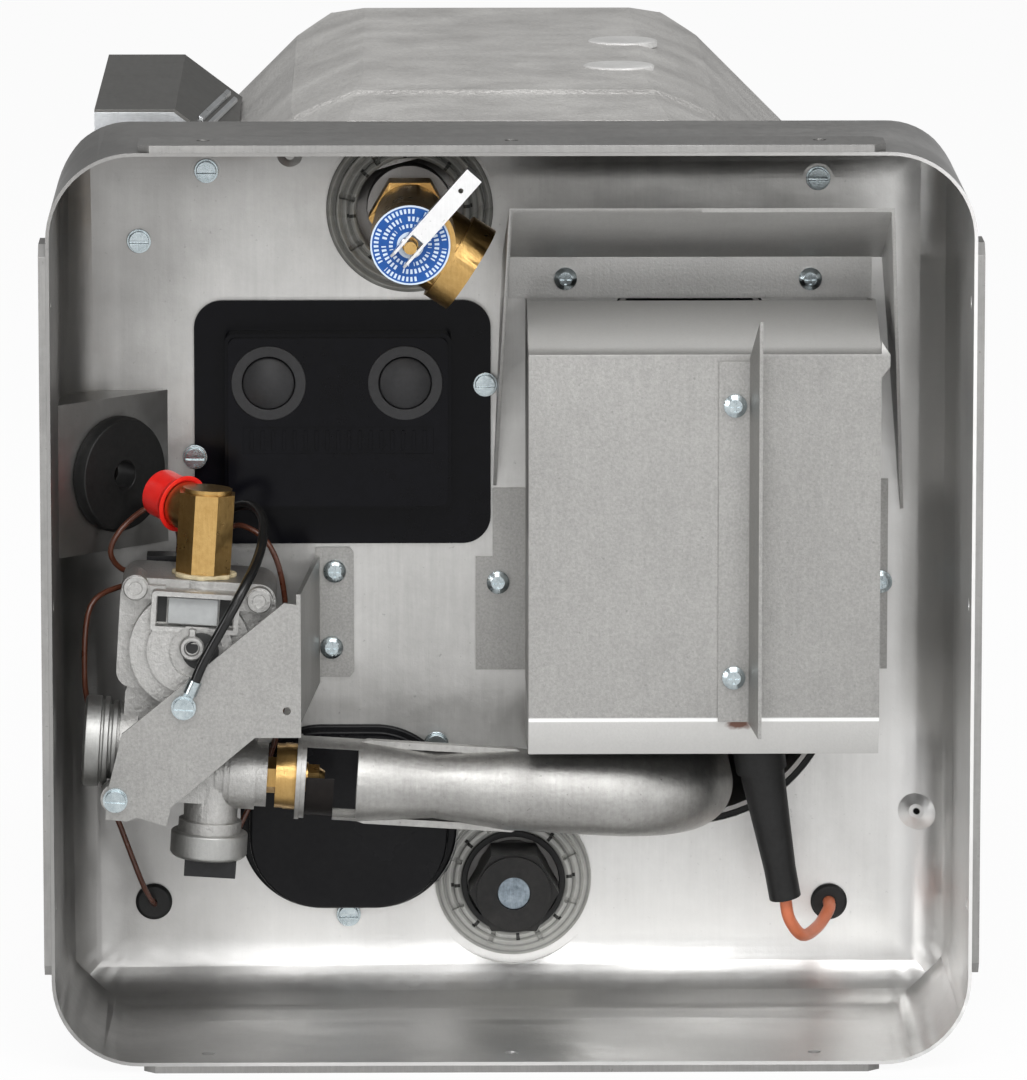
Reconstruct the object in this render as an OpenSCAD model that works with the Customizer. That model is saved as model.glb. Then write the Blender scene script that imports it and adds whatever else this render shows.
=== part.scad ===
/* [Overall] */
// Width and height over the mounting rails
overall_width = 322; // [316:1:330]
// Depth from the rim of the pan to the back of the jacket
overall_depth = 487; // [475:1:510]

/* [Front pan] */
// Depth of the pan, from its rim to its floor
pan_depth = 110; // [106:1:116]
// Thickness of the drawn sheet
pan_sheet = 1.2; // [0.8:0.1:1.5]
// Radius of the pan's four corners
pan_corner = 30; // [26:1:34]
// Radius between the floor and the walls
pan_fillet = 22; // [20:1:24]
// Half height of the slanting flat that carries the gas line grommet
pad_half = 27; // [24:1:30]
// Length of each mounting rail
rail_length = 254; // [220:1:258]
// Thickness of a mounting rail
rail_sheet = 2.5; // [2:0.1:3]
// Depth of a mounting rail, from the rim backwards
rail_depth = 24; // [20:1:30]
// Distance between the screw holes in a rail
rail_pitch = 105; // [90:1:115]
// Diameter of the screw holes in a rail
rail_hole = 4.6; // [4:0.1:5.5]

/* [Jacket and tank] */
// Thickness of the foam at the middle of a flat side
foam_side = 15; // [13:0.5:17]
// Thickness of the foam at the back
foam_back = 16; // [14:0.5:20]
// Depth at which the jacket's front edge laps over the pan
jacket_front = 95; // [94:1:98]
// How far the jacket's front edge lies below its middle
front_drop = 1.8; // [1:0.1:2]
// Depth at which the front slope of the jacket ends
plateau_front = 200; // [180:1:215]
// Depth at which the back slope of the jacket starts
plateau_back = 439; // [425:1:450]
// How far the jacket's back edge lies below its middle
back_drop = 9; // [6:0.5:11]
// Reach of the jacket's rounded corners past its flat sides
corner_reach = 8; // [6:0.5:12]
// Radius of the jacket's back corners
back_round = 24; // [12:1:28]
// Half width of the notch that lets the gas line out
notch_half = 9; // [7:0.5:11]
// Wall of the tank
tank_wall = 2; // [1.5:0.1:2.5]
// Room between the pan and the tank
tank_gap = 7; // [6:0.5:9]
// Radius of the tank's rim
tank_knuckle = 12; // [8:1:14]
// Wall of the flue tubes
flue_wall = 1.6; // [1.2:0.1:2]
// Radius of the fire tube
fire_r = 51; // [49:0.5:51.5]
// Radius of the exhaust tube
exhaust_r = 30; // [26:0.5:32]
// Bore radius of the hot and cold water ports
port_bore_r = 9.15; // [8.5:0.05:9.5]
// Outer radius of the water ports
port_r = 14.5; // [13.5:0.5:16]

/* [Relief valve] */
// Place of the relief valve to the right of the middle
relief_x = -34.5; // [-38:0.5:-32]
// Distance of the relief valve inside the tank's radius
relief_inset = 20.7; // [20.5:0.1:23]
// Radius of the relief valve's bonnet
bonnet_r = 15.6; // [15:0.1:16.5]
// Radius of the label disc
label_r = 13.7; // [12.5:0.1:14]
// Outer radius of the side outlet
outlet_r = 16; // [15.5:0.1:16.5]
// Radius of the hole in the side outlet
outlet_bore_r = 11.7; // [11:0.1:12.2]
// Distance from the valve's axis to the mouth of the outlet
outlet_reach = 25; // [24:0.5:28]
// Angle of the outlet below level
outlet_drop = 33; // [25:1:40]
// Length of the lever from its pin to its tip
lever_length = 34; // [30:0.5:36]
// Angle of the lever above level
lever_rise = 48.6; // [40:0.2:60]
// Width of the lever
lever_width = 6.6; // [6.2:0.1:7.5]

/* [Drain] */
// Place of the drain to the right of the middle
drain_x = 1.8; // [-1:0.1:4]
// Distance of the drain inside the tank's radius
drain_inset = 30.8; // [30:0.2:33]
// Size across the flats of the drain plug
plug_flats = 27.5; // [26:0.5:29]
// How far the drain plug stands out of the floor
plug_height = 28; // [24:0.5:32]
// Outer radius of the anode rod
anode_r = 10.5; // [9:0.5:12]
// Length of the anode rod in the tank
anode_length = 230; // [180:5:260]

/* [Control cover] */
// Width of the control cover
control_w = 104.5; // [100:0.5:106]
// Height of the control cover
control_h = 86.8; // [84:0.2:87]
// Height of the raised box over the floor
control_rise = 14; // [12:0.5:16]
// Wall of the black covers
cover_wall = 2; // [1.6:0.1:2.2]
// Distance between the two reset buttons
button_pitch = 48; // [46:0.5:49]
// Outer radius of the rubber ring round a button
button_ring_r = 13.2; // [12.5:0.1:13.4]
// Radius of a reset button
button_r = 9; // [8:0.1:9.4]
// Travel of a reset button
button_travel = 3; // [2:0.5:3]

/* [Element cover] */
// Width of the element cover
element_w = 76.8; // [74:0.2:78]
// Height of the element cover
element_h = 66.6; // [65:0.2:67.5]
// Height of the element cover over the floor
element_rise = 19; // [18:0.5:21]
// Length of the heating element in the tank
element_length = 190; // [120:5:250]

/* [Gas valve] */
// Tilt of the valve and burner, downwards to the right
valve_tilt = 3.6; // [2.8:0.1:4]
// Distance of the burner axis in front of the floor
valve_off = 55; // [54:0.5:57]
// Radius of the diaphragm housing
diaphragm_r = 21; // [19:0.5:22]
// Radius of the outlet ring
outlet_ring_r = 12.4; // [11.6:0.1:12.8]
// Size across the flats of the inlet elbow
elbow_flats = 19; // [18:0.5:20]
// Height of the inlet elbow
elbow_height = 31; // [28:0.5:33]
// Outer radius of the red shipping cap
cap_r = 10.5; // [10:0.1:11.5]
// Thickness of the valve bracket
bracket_sheet = 1.5; // [1.2:0.1:1.8]

/* [Burner] */
// Outer radius of the burner tube
burner_r = 14.4; // [14:0.1:14.6]
// Wall of the burner tube
burner_wall = 1.2; // [1:0.1:1.4]
// Length of the air window in the burner tube
window_length = 18; // [16:0.5:20]
// Bend radius of the burner tube
burner_bend = 32; // [30:1:34]

/* [Flue hood and cover] */
// Width of the flue cover
cover_w = 121.6; // [119:0.2:122.5]
// Height of the flue cover's top bend above the middle
cover_top = 84.2; // [82:0.2:86]
// Height of the flue cover's bottom bend above the middle
cover_bottom = -43.6; // [-46:0.2:-42]
// Distance of the flue cover in front of the floor
cover_off = 76; // [72:1:78]
// Thickness of the flue sheets
flue_sheet = 1.2; // [1:0.1:1.4]
// Distance of the hood's front edge in front of the floor
hood_off = 104; // [100:1:105]
// Height of the hood's front edge above the middle
hood_top = 138.6; // [136:0.2:140]
// Fall of the hood's top from front to back
hood_fall = 29.8; // [28:0.2:31]

/* [Junction box] */
// Depth at which the junction box starts
junction_front = 222; // [210:1:230]
// Length of the junction box
junction_length = 176; // [170:1:190]
// Thickness of the junction box sheets
junction_sheet = 1; // [0.8:0.1:1.2]
// Radius of the cable hole at the back of the junction box
cable_hole_r = 11.1; // [10:0.1:11.5]

/* [Hidden] */
$fn = 72;

// Clearances
seat = 0.3;
slide_fit = 0.05;
tiny = 0.01;
over = 1;

// Pan
rail_out = overall_width / 2;
pan_half = rail_out - rail_sheet;
pan_in = pan_half - pan_sheet;
floor_y = pan_depth;
floor_back = floor_y + pan_sheet;
pad_x = -(pan_in - 19.3);
pad_y = floor_y - 18;
pad_z = 33.9;

// Jacket and tank
tank_r = rail_out - foam_side - seat;
tank_front = floor_back + tank_gap;
tank_back = overall_depth - foam_back - seat;
fire_x = pan_in - 93.3;
fire_z = -42.5;
exhaust_z = 75;
flue_turn_y = tank_back - 96;
flue_turn_r = exhaust_r + 7;
fire_hole_r = fire_r + 2.2;
exhaust_hole_r = exhaust_r + 1;
port_x = -40;
port_z = 95;

// Screws
screw_r = 1.9;
screw_hole_r = screw_r + slide_fit;
screw_head_r = 4.3;
flue_screw_r = 4;
flue_screw_length = 6;
screw_dish_r = screw_head_r + 1;
pan_screw_places = [[51.4 - pan_in, pan_in - 18.7], [27.6 - pan_in, pan_in - 43.5],
    [pan_in - 48.2, pan_in - 21.6]];

// Relief valve, as distances in front of the floor
relief_z = tank_r - relief_inset;
relief_tip = 104;
relief_face = relief_tip - 8.6;
outlet_off = 58;
hex_front = 26;
hex_back = 12;
hex_flats = 30;
inlet_r = 10.4;
inlet_bore_r = 7.6;
chamber_r = 9;
stem_r = 2.2;
pin_r = 1.2;
pin_off = 100.5;
stem_travel = 3;
relief_dish_r = 30.5;
drain_dish_r = 31;

// Drain
drain_z = drain_inset - tank_r;
thread_r = 13.2;
core_r = 5.8;
plug_corner_r = plug_flats / 2 / cos(30);
drain_well_r = plug_corner_r + 1.6;

// Control cover
control_x = 99 - pan_in;
control_z = 49.5;
box_x = control_x - 1.5;
box_z = control_z + 1.7;
box_w = control_w - 27.2;
box_h = control_h - 27.2;
button_z = box_z + 14;
button_xs = [box_x - button_pitch / 2 - 0.4, box_x + button_pitch / 2 - 0.4];
control_flange = 2;
button_stem_r = 3;
switch_front = floor_y - control_rise + 9.5;
control_screws = [[control_x + control_w / 2 - 1.9, 62.9], [control_x - control_w / 2 + 0.2, 37.2]];

// Gas valve and burner, in a frame whose x axis is the burner axis
valve_x = 66.6 - pan_in;
valve_z = -66.4;
valve_y = floor_y - valve_off;
body_back = 25;
bracket_y = floor_y - 80;
bracket_back = bracket_y + bracket_sheet;
bracket_on_valve = [[-24.2, 26.9], [-46, -7.3]];
elbow_u = -20.5;
elbow_v = 69;
arm_rise = 9;
arm_turn = 129;
flare_r = 6.4;
flare_end = 24;
diaphragm_u = -23.2;
diaphragm_v = 45.4;
recess_u = -22.2;
recess_v = 59.2;
left_cap_v = 8.5;
left_cap_r = 16;
bottom_cap_u = -13;
bottom_cap_r = 13.4;
bottom_cap_v = -29;
valve_neck = 6;
collar_u = 12;
burner_u0 = collar_u + 4.1;
window_u = burner_u0 + 3.3;
taper_u = window_u + window_length + 1;
throat_u = taper_u + 26;
main_u = throat_u + 26;
bend_u = fire_x - valve_x + 1 - burner_bend;
burner_end_y = tank_front + 110;
window_strip = 2.4;
shutter_length = 10;

// Valve bracket, from the valve's origin
bracket_outline = [[-43.9, 18.8], [-16.7, 40.9], [12.4, 64.7], [18.1, 64], [18.1, 17.4], [2.1, 17.4],
    [-27.2, -7.1], [-28.7, -13.8], [-38.8, -10.6], [-42.3, -12], [-49.8, -11.3], [-49.5, -3.3]];
leg_start = 18.1;
leg_end = 24.2;
foot_screws = [[29.4, 62.6], [28.3, 35.2]];
foot_places = [for (p = foot_screws) [valve_x + p[0], valve_z + p[1]]];

// Element cover
element_x = valve_x + 34.1;
element_z = valve_z - 26;
element_flange = 2.2;
element_screws = [[element_x - 0.1, element_z - element_h / 2 - 2],
    [element_x + 31.2, element_z + element_h / 2 - 6.8]];
element_hex = 36;

// Flue hood and cover
cover_left = fire_x - 57.8;
cover_right = cover_left + cover_w;
cover_y = floor_y - cover_off;
hood_y = floor_y - hood_off;
hood_left = cover_left - 6.8;
hood_right = pan_in - 27.2;
gusset_ends = [26.4, 17.4];
hood_flange_h = 15.5;
hood_screws = [[hood_left + 20.9, 100.4], [hood_right - 23.6, 100.2]];
cover_screw_z = -8;
cover_screw_x = [cover_left - 9.7, cover_right + 4.3];
lip = 13;
baffle_depth = 41;
baffle_rise = 13.4;
stiff_x = cover_right - 56;
stiff_w = 11.6;
fin_depth = 20;
stiff_screws = [[stiff_x + 5.6, cover_top - 17.6], [stiff_x + 5.4, cover_bottom + 15]];

// Junction box, whose slanting foot lies on the jacket's chamfer
chamfer_sum = (rail_out + seat) * sqrt(2);
junction_x = -rail_out + 12.3;
junction_top = rail_out - 14.2;
junction_back = junction_front + junction_length;
junction_w = 51;
junction_flat = 29.3;
junction_z = chamfer_sum + junction_x;
slope_run = junction_w - junction_flat;
slope_fall = junction_top - junction_z - junction_w;
slope_angle = atan(slope_fall / slope_run);
slope_length = norm([slope_run, slope_fall]);
junction_screws_x = [junction_x + 7, junction_x + 26];
junction_tab = 11;

// Leads, as points from the valve's origin on the floor, and from the electrode's
earth_r = 1.8;
earth_route = [[-15.3, -20, 72.4], [-14.3, -21, 80], [-8, -28, 88.4], [0, -40, 92.6], [5, -53, 89],
    [3.5, -67, 79], [-3, -80, 67], [-14.9, -82.4, 45.7], [-18.34, -82.4, 37.93]];
lead_r = 1;
lead_route_top = [[-25.3, -20, 72.4], [-25.3, -19, 79], [-29, -18.2, 87.4], [-36, -20, 88.4],
    [-45, -26, 82], [-49, -27, 74], [-45, -23, 67], [-36.3, -22, 65.9]];
lead_route_down = [[-36.3, -23, 61.9], [-44, -26, 61.9], [-55.9, -36, 56], [-58, -40, 32], [-55.8, -34, 14],
    [-52.8, -29, -6], [-46.5, -22, -25], [-39, -12, -48], [-35.3, -3.6, -56.9], [-35.3, 2.8, -56.9]];
lead_route_right = [[-11.3, -20, 72.4], [-10.3, -21, 79], [-3, -26, 83], [7, -29, 76], [12, -29, 58],
    [12, -29, 28], [8, -32, 6], [-1, -37, -16], [-10, -42, -32.6], [-11.3, -47, -32.6]];
electrode_x = fire_x + 22.5;
electrode_z = fire_z - 19.5;
igniter_r = 2.2;
igniter_route = [[10.5, -43, -51.4], [12, -41.6, -59.5], [17, -34, -67], [23, -20, -67],
    [27.4, -9, -63.2], [27.9, -3.6, -61.9], [27.9, 2.8, -61.9]];
grommet_places = [[valve_x - 35.3, valve_z - 56.9], [electrode_x + 27.9, electrode_z - 61.9]];
grommet_bores = [lead_r, igniter_r];
grommet_neck_r = 5;
gas_neck_r = 15;

// Shape helpers
module place() translate([0, -overall_depth / 2, rail_out]) children();
module along_y(y0, y1) translate([0, y1, 0]) rotate([90, 0, 0]) linear_extrude(y1 - y0) children();
module along_x(x0, x1) translate([x0, 0, 0]) rotate([90, 0, 90]) linear_extrude(x1 - x0) children();
module turn_y() rotate([-90, 0, 0]) rotate_extrude() children();
module ycyl(r, y0, y1) translate([0, y0, 0]) rotate([-90, 0, 0]) cylinder(r = r, h = y1 - y0);
module xcyl(r, x0, x1) translate([x0, 0, 0]) rotate([0, 90, 0]) cylinder(r = r, h = x1 - x0);
module at(p) translate([p[0], 0, p[1]]) children();
module block(a, b) translate(a) cube(b - a);

module rounded(w, h, r) {
    square([w - 2 * r, h], center = true);
    square([w, h - 2 * r], center = true);
    for (x = [-1, 1], y = [-1, 1]) translate([x * (w / 2 - r), y * (h / 2 - r)]) circle(r);
}

// A cup profile, open at the front, with its floor's corners rounded
module cup_profile(half, front, depth, r) {
    translate([-half, front]) square([2 * half, depth - r - front]);
    translate([-(half - r), front]) square([2 * (half - r), depth - front]);
    for (s = [-1, 1]) translate([s * (half - r), depth - r]) circle(r);
}

module pan_block(half, front, depth, corner, fillet) {
    intersection() {
        along_y(front, depth) rounded(2 * half, 2 * half, corner);
        translate([0, 0, -half - over]) linear_extrude(2 * (half + over))
            cup_profile(half, front, depth, fillet);
        along_x(-half - over, half + over) mirror([1, -1]) cup_profile(half, front, depth, fillet);
    }
}

// The corner cut by the slanting flat, moved outwards by the sheet
module pad_wedge(out, reach) {
    translate([pad_x, pad_y, pad_z - reach]) rotate([0, 0, 45])
        translate([-rail_out, out, 0]) cube([2 * rail_out, rail_out, 2 * reach]);
}

module pan_cavity() {
    difference() {
        pan_block(pan_in, -over, floor_y, pan_corner - pan_sheet, pan_fillet);
        pad_wedge(0, pad_half);
    }
}

module on_pad() translate([pad_x, pad_y, pad_z]) rotate([0, 0, 45]) children();

// A smooth route through chosen points, and a tube with flat ends along it
function spline_point(a, b, c, d, t) = 0.5 * ((2 * b) + (c - a) * t + (2 * a - 5 * b + 4 * c - d) * t * t
    + (3 * b - a - 3 * c + d) * t * t * t);
function smooth_route(p, n) = let (last = len(p) - 1) concat([for (i = [0 : last - 1], k = [0 : n - 1])
    spline_point(p[max(i - 1, 0)], p[i], p[i + 1], p[min(i + 2, last)], k / n)], [p[last]]);
function unit(v) = v / norm(v);
function heading(p, i) = unit(p[min(i + 1, len(p) - 1)] - p[max(i - 1, 0)]);
function ring_points(c, d, r, sides) = let (u = unit(cross(d, [1, 0.1, 0.05])), v = cross(d, u))
    [for (k = [0 : sides - 1]) c + r * cos(360 * k / sides) * u + r * sin(360 * k / sides) * v];

module tube_along(route, r, sides = 8, n = 2) {
    path = smooth_route(route, n);
    rings = len(path);
    points = [for (i = [0 : rings - 1]) each ring_points(path[i], heading(path, i), r, sides)];
    walls = [for (i = [0 : rings - 2], k = [0 : sides - 1]) let (a = i * sides, b = (k + 1) % sides)
        each [[a + k, a + b, a + sides + b], [a + k, a + sides + b, a + sides + k]]];
    first = [for (k = [sides - 1 : -1 : 0]) k];
    end = [for (k = [0 : sides - 1]) (rings - 1) * sides + k];
    polyhedron(points, concat([first], walls, [end]), convexity = 6);
}

// A slotted hex washer screw, facing forwards, seated at depth y
module hex_screw(y, shank) {
    difference() {
        union() {
            ycyl(screw_head_r, y - 1, y);
            ycyl(3.5, y - 3.4, y);
        }
        block([-5, y - 4, -0.6], [5, y - 2.2, 0.6]);
    }
    ycyl(screw_r, y - tiny, y + shank);
}

// A cross-recessed pan-head screw, facing forwards, seated at depth y
module pan_head_screw(y, shank) {
    difference() {
        union() {
            ycyl(flue_screw_r, y - 1.6, y);
            translate([0, y - 1.6, 0]) rotate([90, 0, 0]) cylinder(r1 = flue_screw_r, r2 = 2.4, h = 1);
        }
        block([-2, y - 3, -0.45], [2, y - 1.4, 0.45]);
        block([-0.45, y - 3, -2], [0.45, y - 1.4, 2]);
    }
    ycyl(screw_r, y - tiny, y + shank);
}

module front_pan() {
    color("silver") place() difference() {
        union() {
            difference() {
                pan_block(pan_half, 0, floor_back, pan_corner, pan_fillet + pan_sheet);
                pad_wedge(pan_sheet, pad_half - pan_sheet);
            }
            pan_dishes(pan_sheet);
        }
        pan_cavity();
        pan_dishes(0);
        at([relief_x, relief_z]) ycyl(relief_dish_r - 6, floor_y - over, floor_back + over);
        at([drain_x, drain_z]) ycyl(drain_well_r + 2.4, floor_y - over, floor_back + over);
        at([fire_x, fire_z]) ycyl(fire_hole_r, floor_y - over, floor_back + over);
        at([fire_x, exhaust_z]) ycyl(exhaust_hole_r, floor_y - over, floor_back + over);
        for (p = grommet_places) at(p) ycyl(grommet_neck_r, floor_y - over, floor_back + over);
        on_pad() ycyl(gas_neck_r, -5, 5);
        at([box_x, box_z]) along_y(floor_y - over, floor_back + over) square([box_w - 8, box_h - 8], true);
        at([element_x, element_z]) ycyl(element_hex / 2 + 6, floor_y - over, floor_back + over);
        for (p = concat(pan_screw_places, control_screws, element_screws, foot_places, hood_screws,
            [for (x = cover_screw_x) [x, cover_screw_z]]))
            at(p) ycyl(screw_hole_r, floor_y - over, floor_back + over);
        rail_holes(pan_half - 3 * over, rail_out + over);
    }
}

// Round seats that run into the floor's corners, and their outer skin when grown
module pan_dishes(grow) {
    back = floor_y + grow;
    at([relief_x, relief_z]) ycyl(relief_dish_r + grow, floor_y - pan_fillet, back);
    at([drain_x, drain_z]) ycyl(drain_dish_r + grow, floor_y - pan_fillet, back);
    for (p = pan_screw_places) at(p) ycyl(screw_dish_r + grow, floor_y - pan_fillet, back);
}

module rail_holes(from, to) {
    for (side = [0 : 3], k = [-1 : 1]) rotate([0, 90 * side, 0])
        translate([0, rail_depth * 0.6, k * rail_pitch]) xcyl(rail_hole / 2, from, to);
}

module mounting_rails() {
    color("gainsboro") place() difference() {
        for (side = [0 : 3]) rotate([0, 90 * side, 0]) along_x(pan_half, rail_out) polygon([
            [0, 4 - rail_length / 2], [0, rail_length / 2 - 4], [4, rail_length / 2],
            [rail_depth - 4, rail_length / 2], [rail_depth, rail_length / 2 - 4],
            [rail_depth, 4 - rail_length / 2], [rail_depth - 4, -rail_length / 2], [4, -rail_length / 2]]);
        rail_holes(pan_half - over, rail_out + over);
    }
}

// The jacket is the common part of four bars that cross at 45 degrees
module jacket_bar() {
    along_x(-2 * rail_out, 2 * rail_out) polygon([
        [jacket_front, front_drop - rail_out], [plateau_front, -rail_out], [plateau_back, -rail_out],
        [overall_depth, back_drop - rail_out], [overall_depth, rail_out - back_drop],
        [plateau_back, rail_out], [plateau_front, rail_out], [jacket_front, rail_out - front_drop]]);
}

// A turned block that rounds the jacket's long corners and its back corners
module jacket_round() {
    r = rail_out + corner_reach;
    turn_y() {
        translate([0, jacket_front - over]) square([r, overall_depth - back_round - jacket_front + over]);
        translate([0, jacket_front - over]) square([r - back_round, overall_depth - jacket_front + over]);
        translate([r - back_round, overall_depth - back_round]) circle(back_round);
    }
}

module jacket_whole() {
    difference() {
        intersection() {
            jacket_round();
            jacket_bar();
            rotate([0, 45, 0]) jacket_bar();
            rotate([0, 90, 0]) jacket_bar();
            rotate([0, 135, 0]) jacket_bar();
        }
        pan_block(pan_half + seat, 0, floor_back + seat, pan_corner + seat, pan_fillet + pan_sheet + seat);
        pan_dishes(pan_sheet + seat);
        ycyl(tank_r + seat, jacket_front - over, tank_back + seat);
        for (s = [-1, 1]) at([port_x, s * port_z]) ycyl(port_r + 5, tank_back - over, overall_depth + over);
        on_pad() block([-2 * gas_neck_r, 0, -notch_half], [notch_half, 4 * gas_neck_r, notch_half]);
        for (p = hood_screws) at(p) ycyl(screw_r + seat, floor_back, floor_back + flue_screw_length);
    }
}

module jacket_upper() {
    color("lightgray") place() intersection() {
        jacket_whole();
        block([-2 * rail_out, 0, seat / 2], [2 * rail_out, overall_depth + over, 2 * rail_out]);
    }
}

module jacket_lower() {
    color("lightgray") place() intersection() {
        jacket_whole();
        block([-2 * rail_out, 0, -2 * rail_out], [2 * rail_out, overall_depth + over, -seat / 2]);
    }
}

module drum(r, y0, y1, knuckle) {
    turn_y() intersection() {
        union() {
            translate([0, y0]) square([r - knuckle, y1 - y0]);
            translate([0, y0 + knuckle]) square([r, y1 - y0 - 2 * knuckle]);
            for (y = [y0 + knuckle, y1 - knuckle]) translate([r - knuckle, y]) circle(knuckle);
        }
        translate([0, y0 - over]) square([r + over, y1 - y0 + 2 * over]);
    }
}

module tank_shell() {
    color("dimgray") place() difference() {
        drum(tank_r, tank_front, tank_back, tank_knuckle);
        drum(tank_r - tank_wall, tank_front + tank_wall, tank_back - tank_wall, tank_knuckle - tank_wall);
        at([fire_x, fire_z]) ycyl(fire_r + slide_fit, tank_front - over, tank_front + 3 * tank_wall);
        at([fire_x, exhaust_z]) ycyl(exhaust_r + slide_fit, tank_front - over, tank_front + 3 * tank_wall);
        for (b = front_boss_list) at(b[0]) ycyl(b[1] + slide_fit, tank_front - over,
            tank_front + tank_knuckle);
        for (s = [-1, 1]) at([port_x, s * port_z]) ycyl(port_r + slide_fit, tank_back - 3 * tank_wall,
            tank_back + over);
    }
}

module flue_shape(shrink, ends) {
    at([fire_x, fire_z]) ycyl(fire_r - shrink, floor_back - ends, flue_turn_y + 44 - shrink);
    at([fire_x, exhaust_z]) ycyl(exhaust_r - shrink, floor_back - ends, flue_turn_y - flue_turn_r);
    translate([fire_x, flue_turn_y - flue_turn_r, exhaust_z - flue_turn_r]) rotate([0, -90, 0])
        rotate_extrude(angle = 90) translate([flue_turn_r, 0]) circle(exhaust_r - shrink);
    translate([fire_x, flue_turn_y, fire_z]) cylinder(r = exhaust_r - shrink,
        h = exhaust_z - flue_turn_r - fire_z);
}

module flue_tube() {
    color("dimgray") place() difference() {
        flue_shape(0, 0);
        flue_shape(flue_wall, over);
    }
}

// Place, outer radius and bore radius of each coupling in the front head
front_boss_list = [[[relief_x, relief_z], 15, inlet_r + slide_fit], [[drain_x, drain_z], 17,
    thread_r + slide_fit], [[element_x, element_z], 20, 15.2 + slide_fit]];

module front_bosses() {
    color("slategray") place() for (b = front_boss_list) at(b[0]) difference() {
        ycyl(b[1], floor_back + seat, tank_front + 9);
        ycyl(b[2], floor_back - over, tank_front + 10);
    }
}

module water_port() {
    at([port_x, 0]) difference() {
        ycyl(port_r, tank_back - 12, overall_depth - 5);
        ycyl(port_bore_r, tank_back - 13, overall_depth);
    }
}

module hot_port() {
    color("peru") place() translate([0, 0, port_z]) water_port();
}

module cold_port() {
    color("steelblue") place() translate([0, 0, -port_z]) water_port();
}

module anode_plug() {
    color("#222426") place() at([drain_x, drain_z]) difference() {
        union() {
            translate([0, floor_y - plug_height, 0]) rotate([-90, 0, 0])
                cylinder(r = plug_corner_r, h = plug_height - 6, $fn = 6);
            ycyl(plug_flats / 2 - 0.6, floor_y - plug_height - 1.4, floor_y - plug_height);
            ycyl(thread_r, floor_y - 6 - tiny, tank_front + 9);
        }
        ycyl(core_r + slide_fit, floor_y - plug_height - over * 3, tank_front + 10);
    }
}

module anode_rod() {
    color("lightsteelblue") place() at([drain_x, drain_z]) {
        ycyl(core_r, floor_y - plug_height - 0.4, tank_front + 9 + tiny);
        ycyl(anode_r, tank_front + 9, tank_front + anode_length);
    }
}

// A stepped plastic collar with radial slots, clipped in a round hole of the floor
module slotted_collar(dish_r, well_r, neck_r, lean) {
    difference() {
        union() {
            ycyl(dish_r - 1.2, floor_y - 2, floor_y);
            ycyl(dish_r - 4.5, floor_y - 4.5, floor_y);
            ycyl(well_r + 2.6, floor_y - 7, floor_y);
            ycyl(neck_r - slide_fit, floor_y - tiny, floor_back);
        }
        ycyl(well_r, floor_y - 8, floor_back + over);
        for (a = [0 : 45 : 315]) rotate([0, a + lean, 0])
            block([well_r + 1, floor_y - 8, -0.9], [well_r + 6.5, floor_y - 3, 0.9]);
    }
}

// Its rim is cut away where the element cover's flange lies on the floor
module drain_collar() {
    color("lightgray") place() difference() {
        at([drain_x, drain_z]) slotted_collar(drain_dish_r - 2, drain_well_r + 0.9, drain_well_r + 2.4, 20);
        at([element_x, element_z]) along_y(floor_y - 3 * element_flange, floor_y) element_outline(seat);
    }
}

module drain_seal() {
    color("#1c1c1c") place() at([drain_x, drain_z]) difference() {
        ycyl(drain_well_r + 0.9, floor_y - 8.5, floor_y - 1);
        ycyl(drain_well_r - 1.2, floor_y - 9, floor_y);
    }
}

module relief_collar() {
    color("lightgray") place() at([relief_x, relief_z])
        slotted_collar(relief_dish_r, hex_flats / 2 / cos(30) + 1.4, relief_dish_r - 6, 12);
}

module relief_body() {
    color("goldenrod") place() at([relief_x, relief_z]) difference() {
        union() {
            ycyl(bonnet_r, floor_y - relief_face + 2, floor_y - outlet_off - 10);
            ycyl(bonnet_r - 1.6, floor_y - relief_face, floor_y - outlet_off);
            ycyl(bonnet_r - 1, floor_y - outlet_off - 12, floor_y - hex_front);
            translate([0, floor_y - hex_front, 0]) rotate([-90, 0, 0])
                cylinder(r = hex_flats / 2 / cos(30), h = hex_front - hex_back, $fn = 6);
            ycyl(inlet_r, floor_y - hex_back - tiny, tank_front + 9);
            translate([0, floor_y - outlet_off, 0]) rotate([0, outlet_drop, 0]) {
                xcyl(outlet_r - 1.6, 0, outlet_reach);
                xcyl(outlet_r, outlet_reach - 9, outlet_reach);
            }
        }
        ycyl(chamber_r, floor_y - outlet_off - 10, floor_y - hex_front + 6);
        ycyl(inlet_bore_r - 1.2, floor_y - hex_front, floor_y - hex_back);
        ycyl(inlet_bore_r, floor_y - hex_front + 9, tank_front + 10);
        ycyl(stem_r + slide_fit, floor_y - relief_tip, floor_y - outlet_off);
        translate([0, floor_y - outlet_off, 0]) rotate([0, outlet_drop, 0]) {
            xcyl(chamber_r - 2, 0, outlet_reach);
            xcyl(outlet_bore_r, outlet_reach - 14, outlet_reach + over);
        }
        ycyl(label_r - 2, floor_y - relief_face - over, floor_y - relief_face + 0.4);
    }
}

module relief_label() {
    color("royalblue") place() at([relief_x, relief_z]) difference() {
        ycyl(label_r, floor_y - relief_face - 0.6, floor_y - relief_face);
        ycyl(stem_r + 0.6, floor_y - relief_face - over, floor_y - relief_face + over);
    }
}

module lever_frame() at([relief_x, relief_z]) rotate([0, -lever_rise, 0]) children();

module relief_stem() {
    color("darkgoldenrod") place() {
        lever_frame() difference() {
            ycyl(stem_r, floor_y - relief_tip + 0.4, floor_y - hex_front + 3);
            translate([0, floor_y - pin_off, -stem_r - over]) cylinder(r = pin_r + slide_fit,
                h = 2 * (stem_r + over));
        }
        at([relief_x, relief_z]) ycyl(chamber_r - 1, floor_y - hex_front + 2, floor_y - hex_front + 5.7);
    }
}

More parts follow.
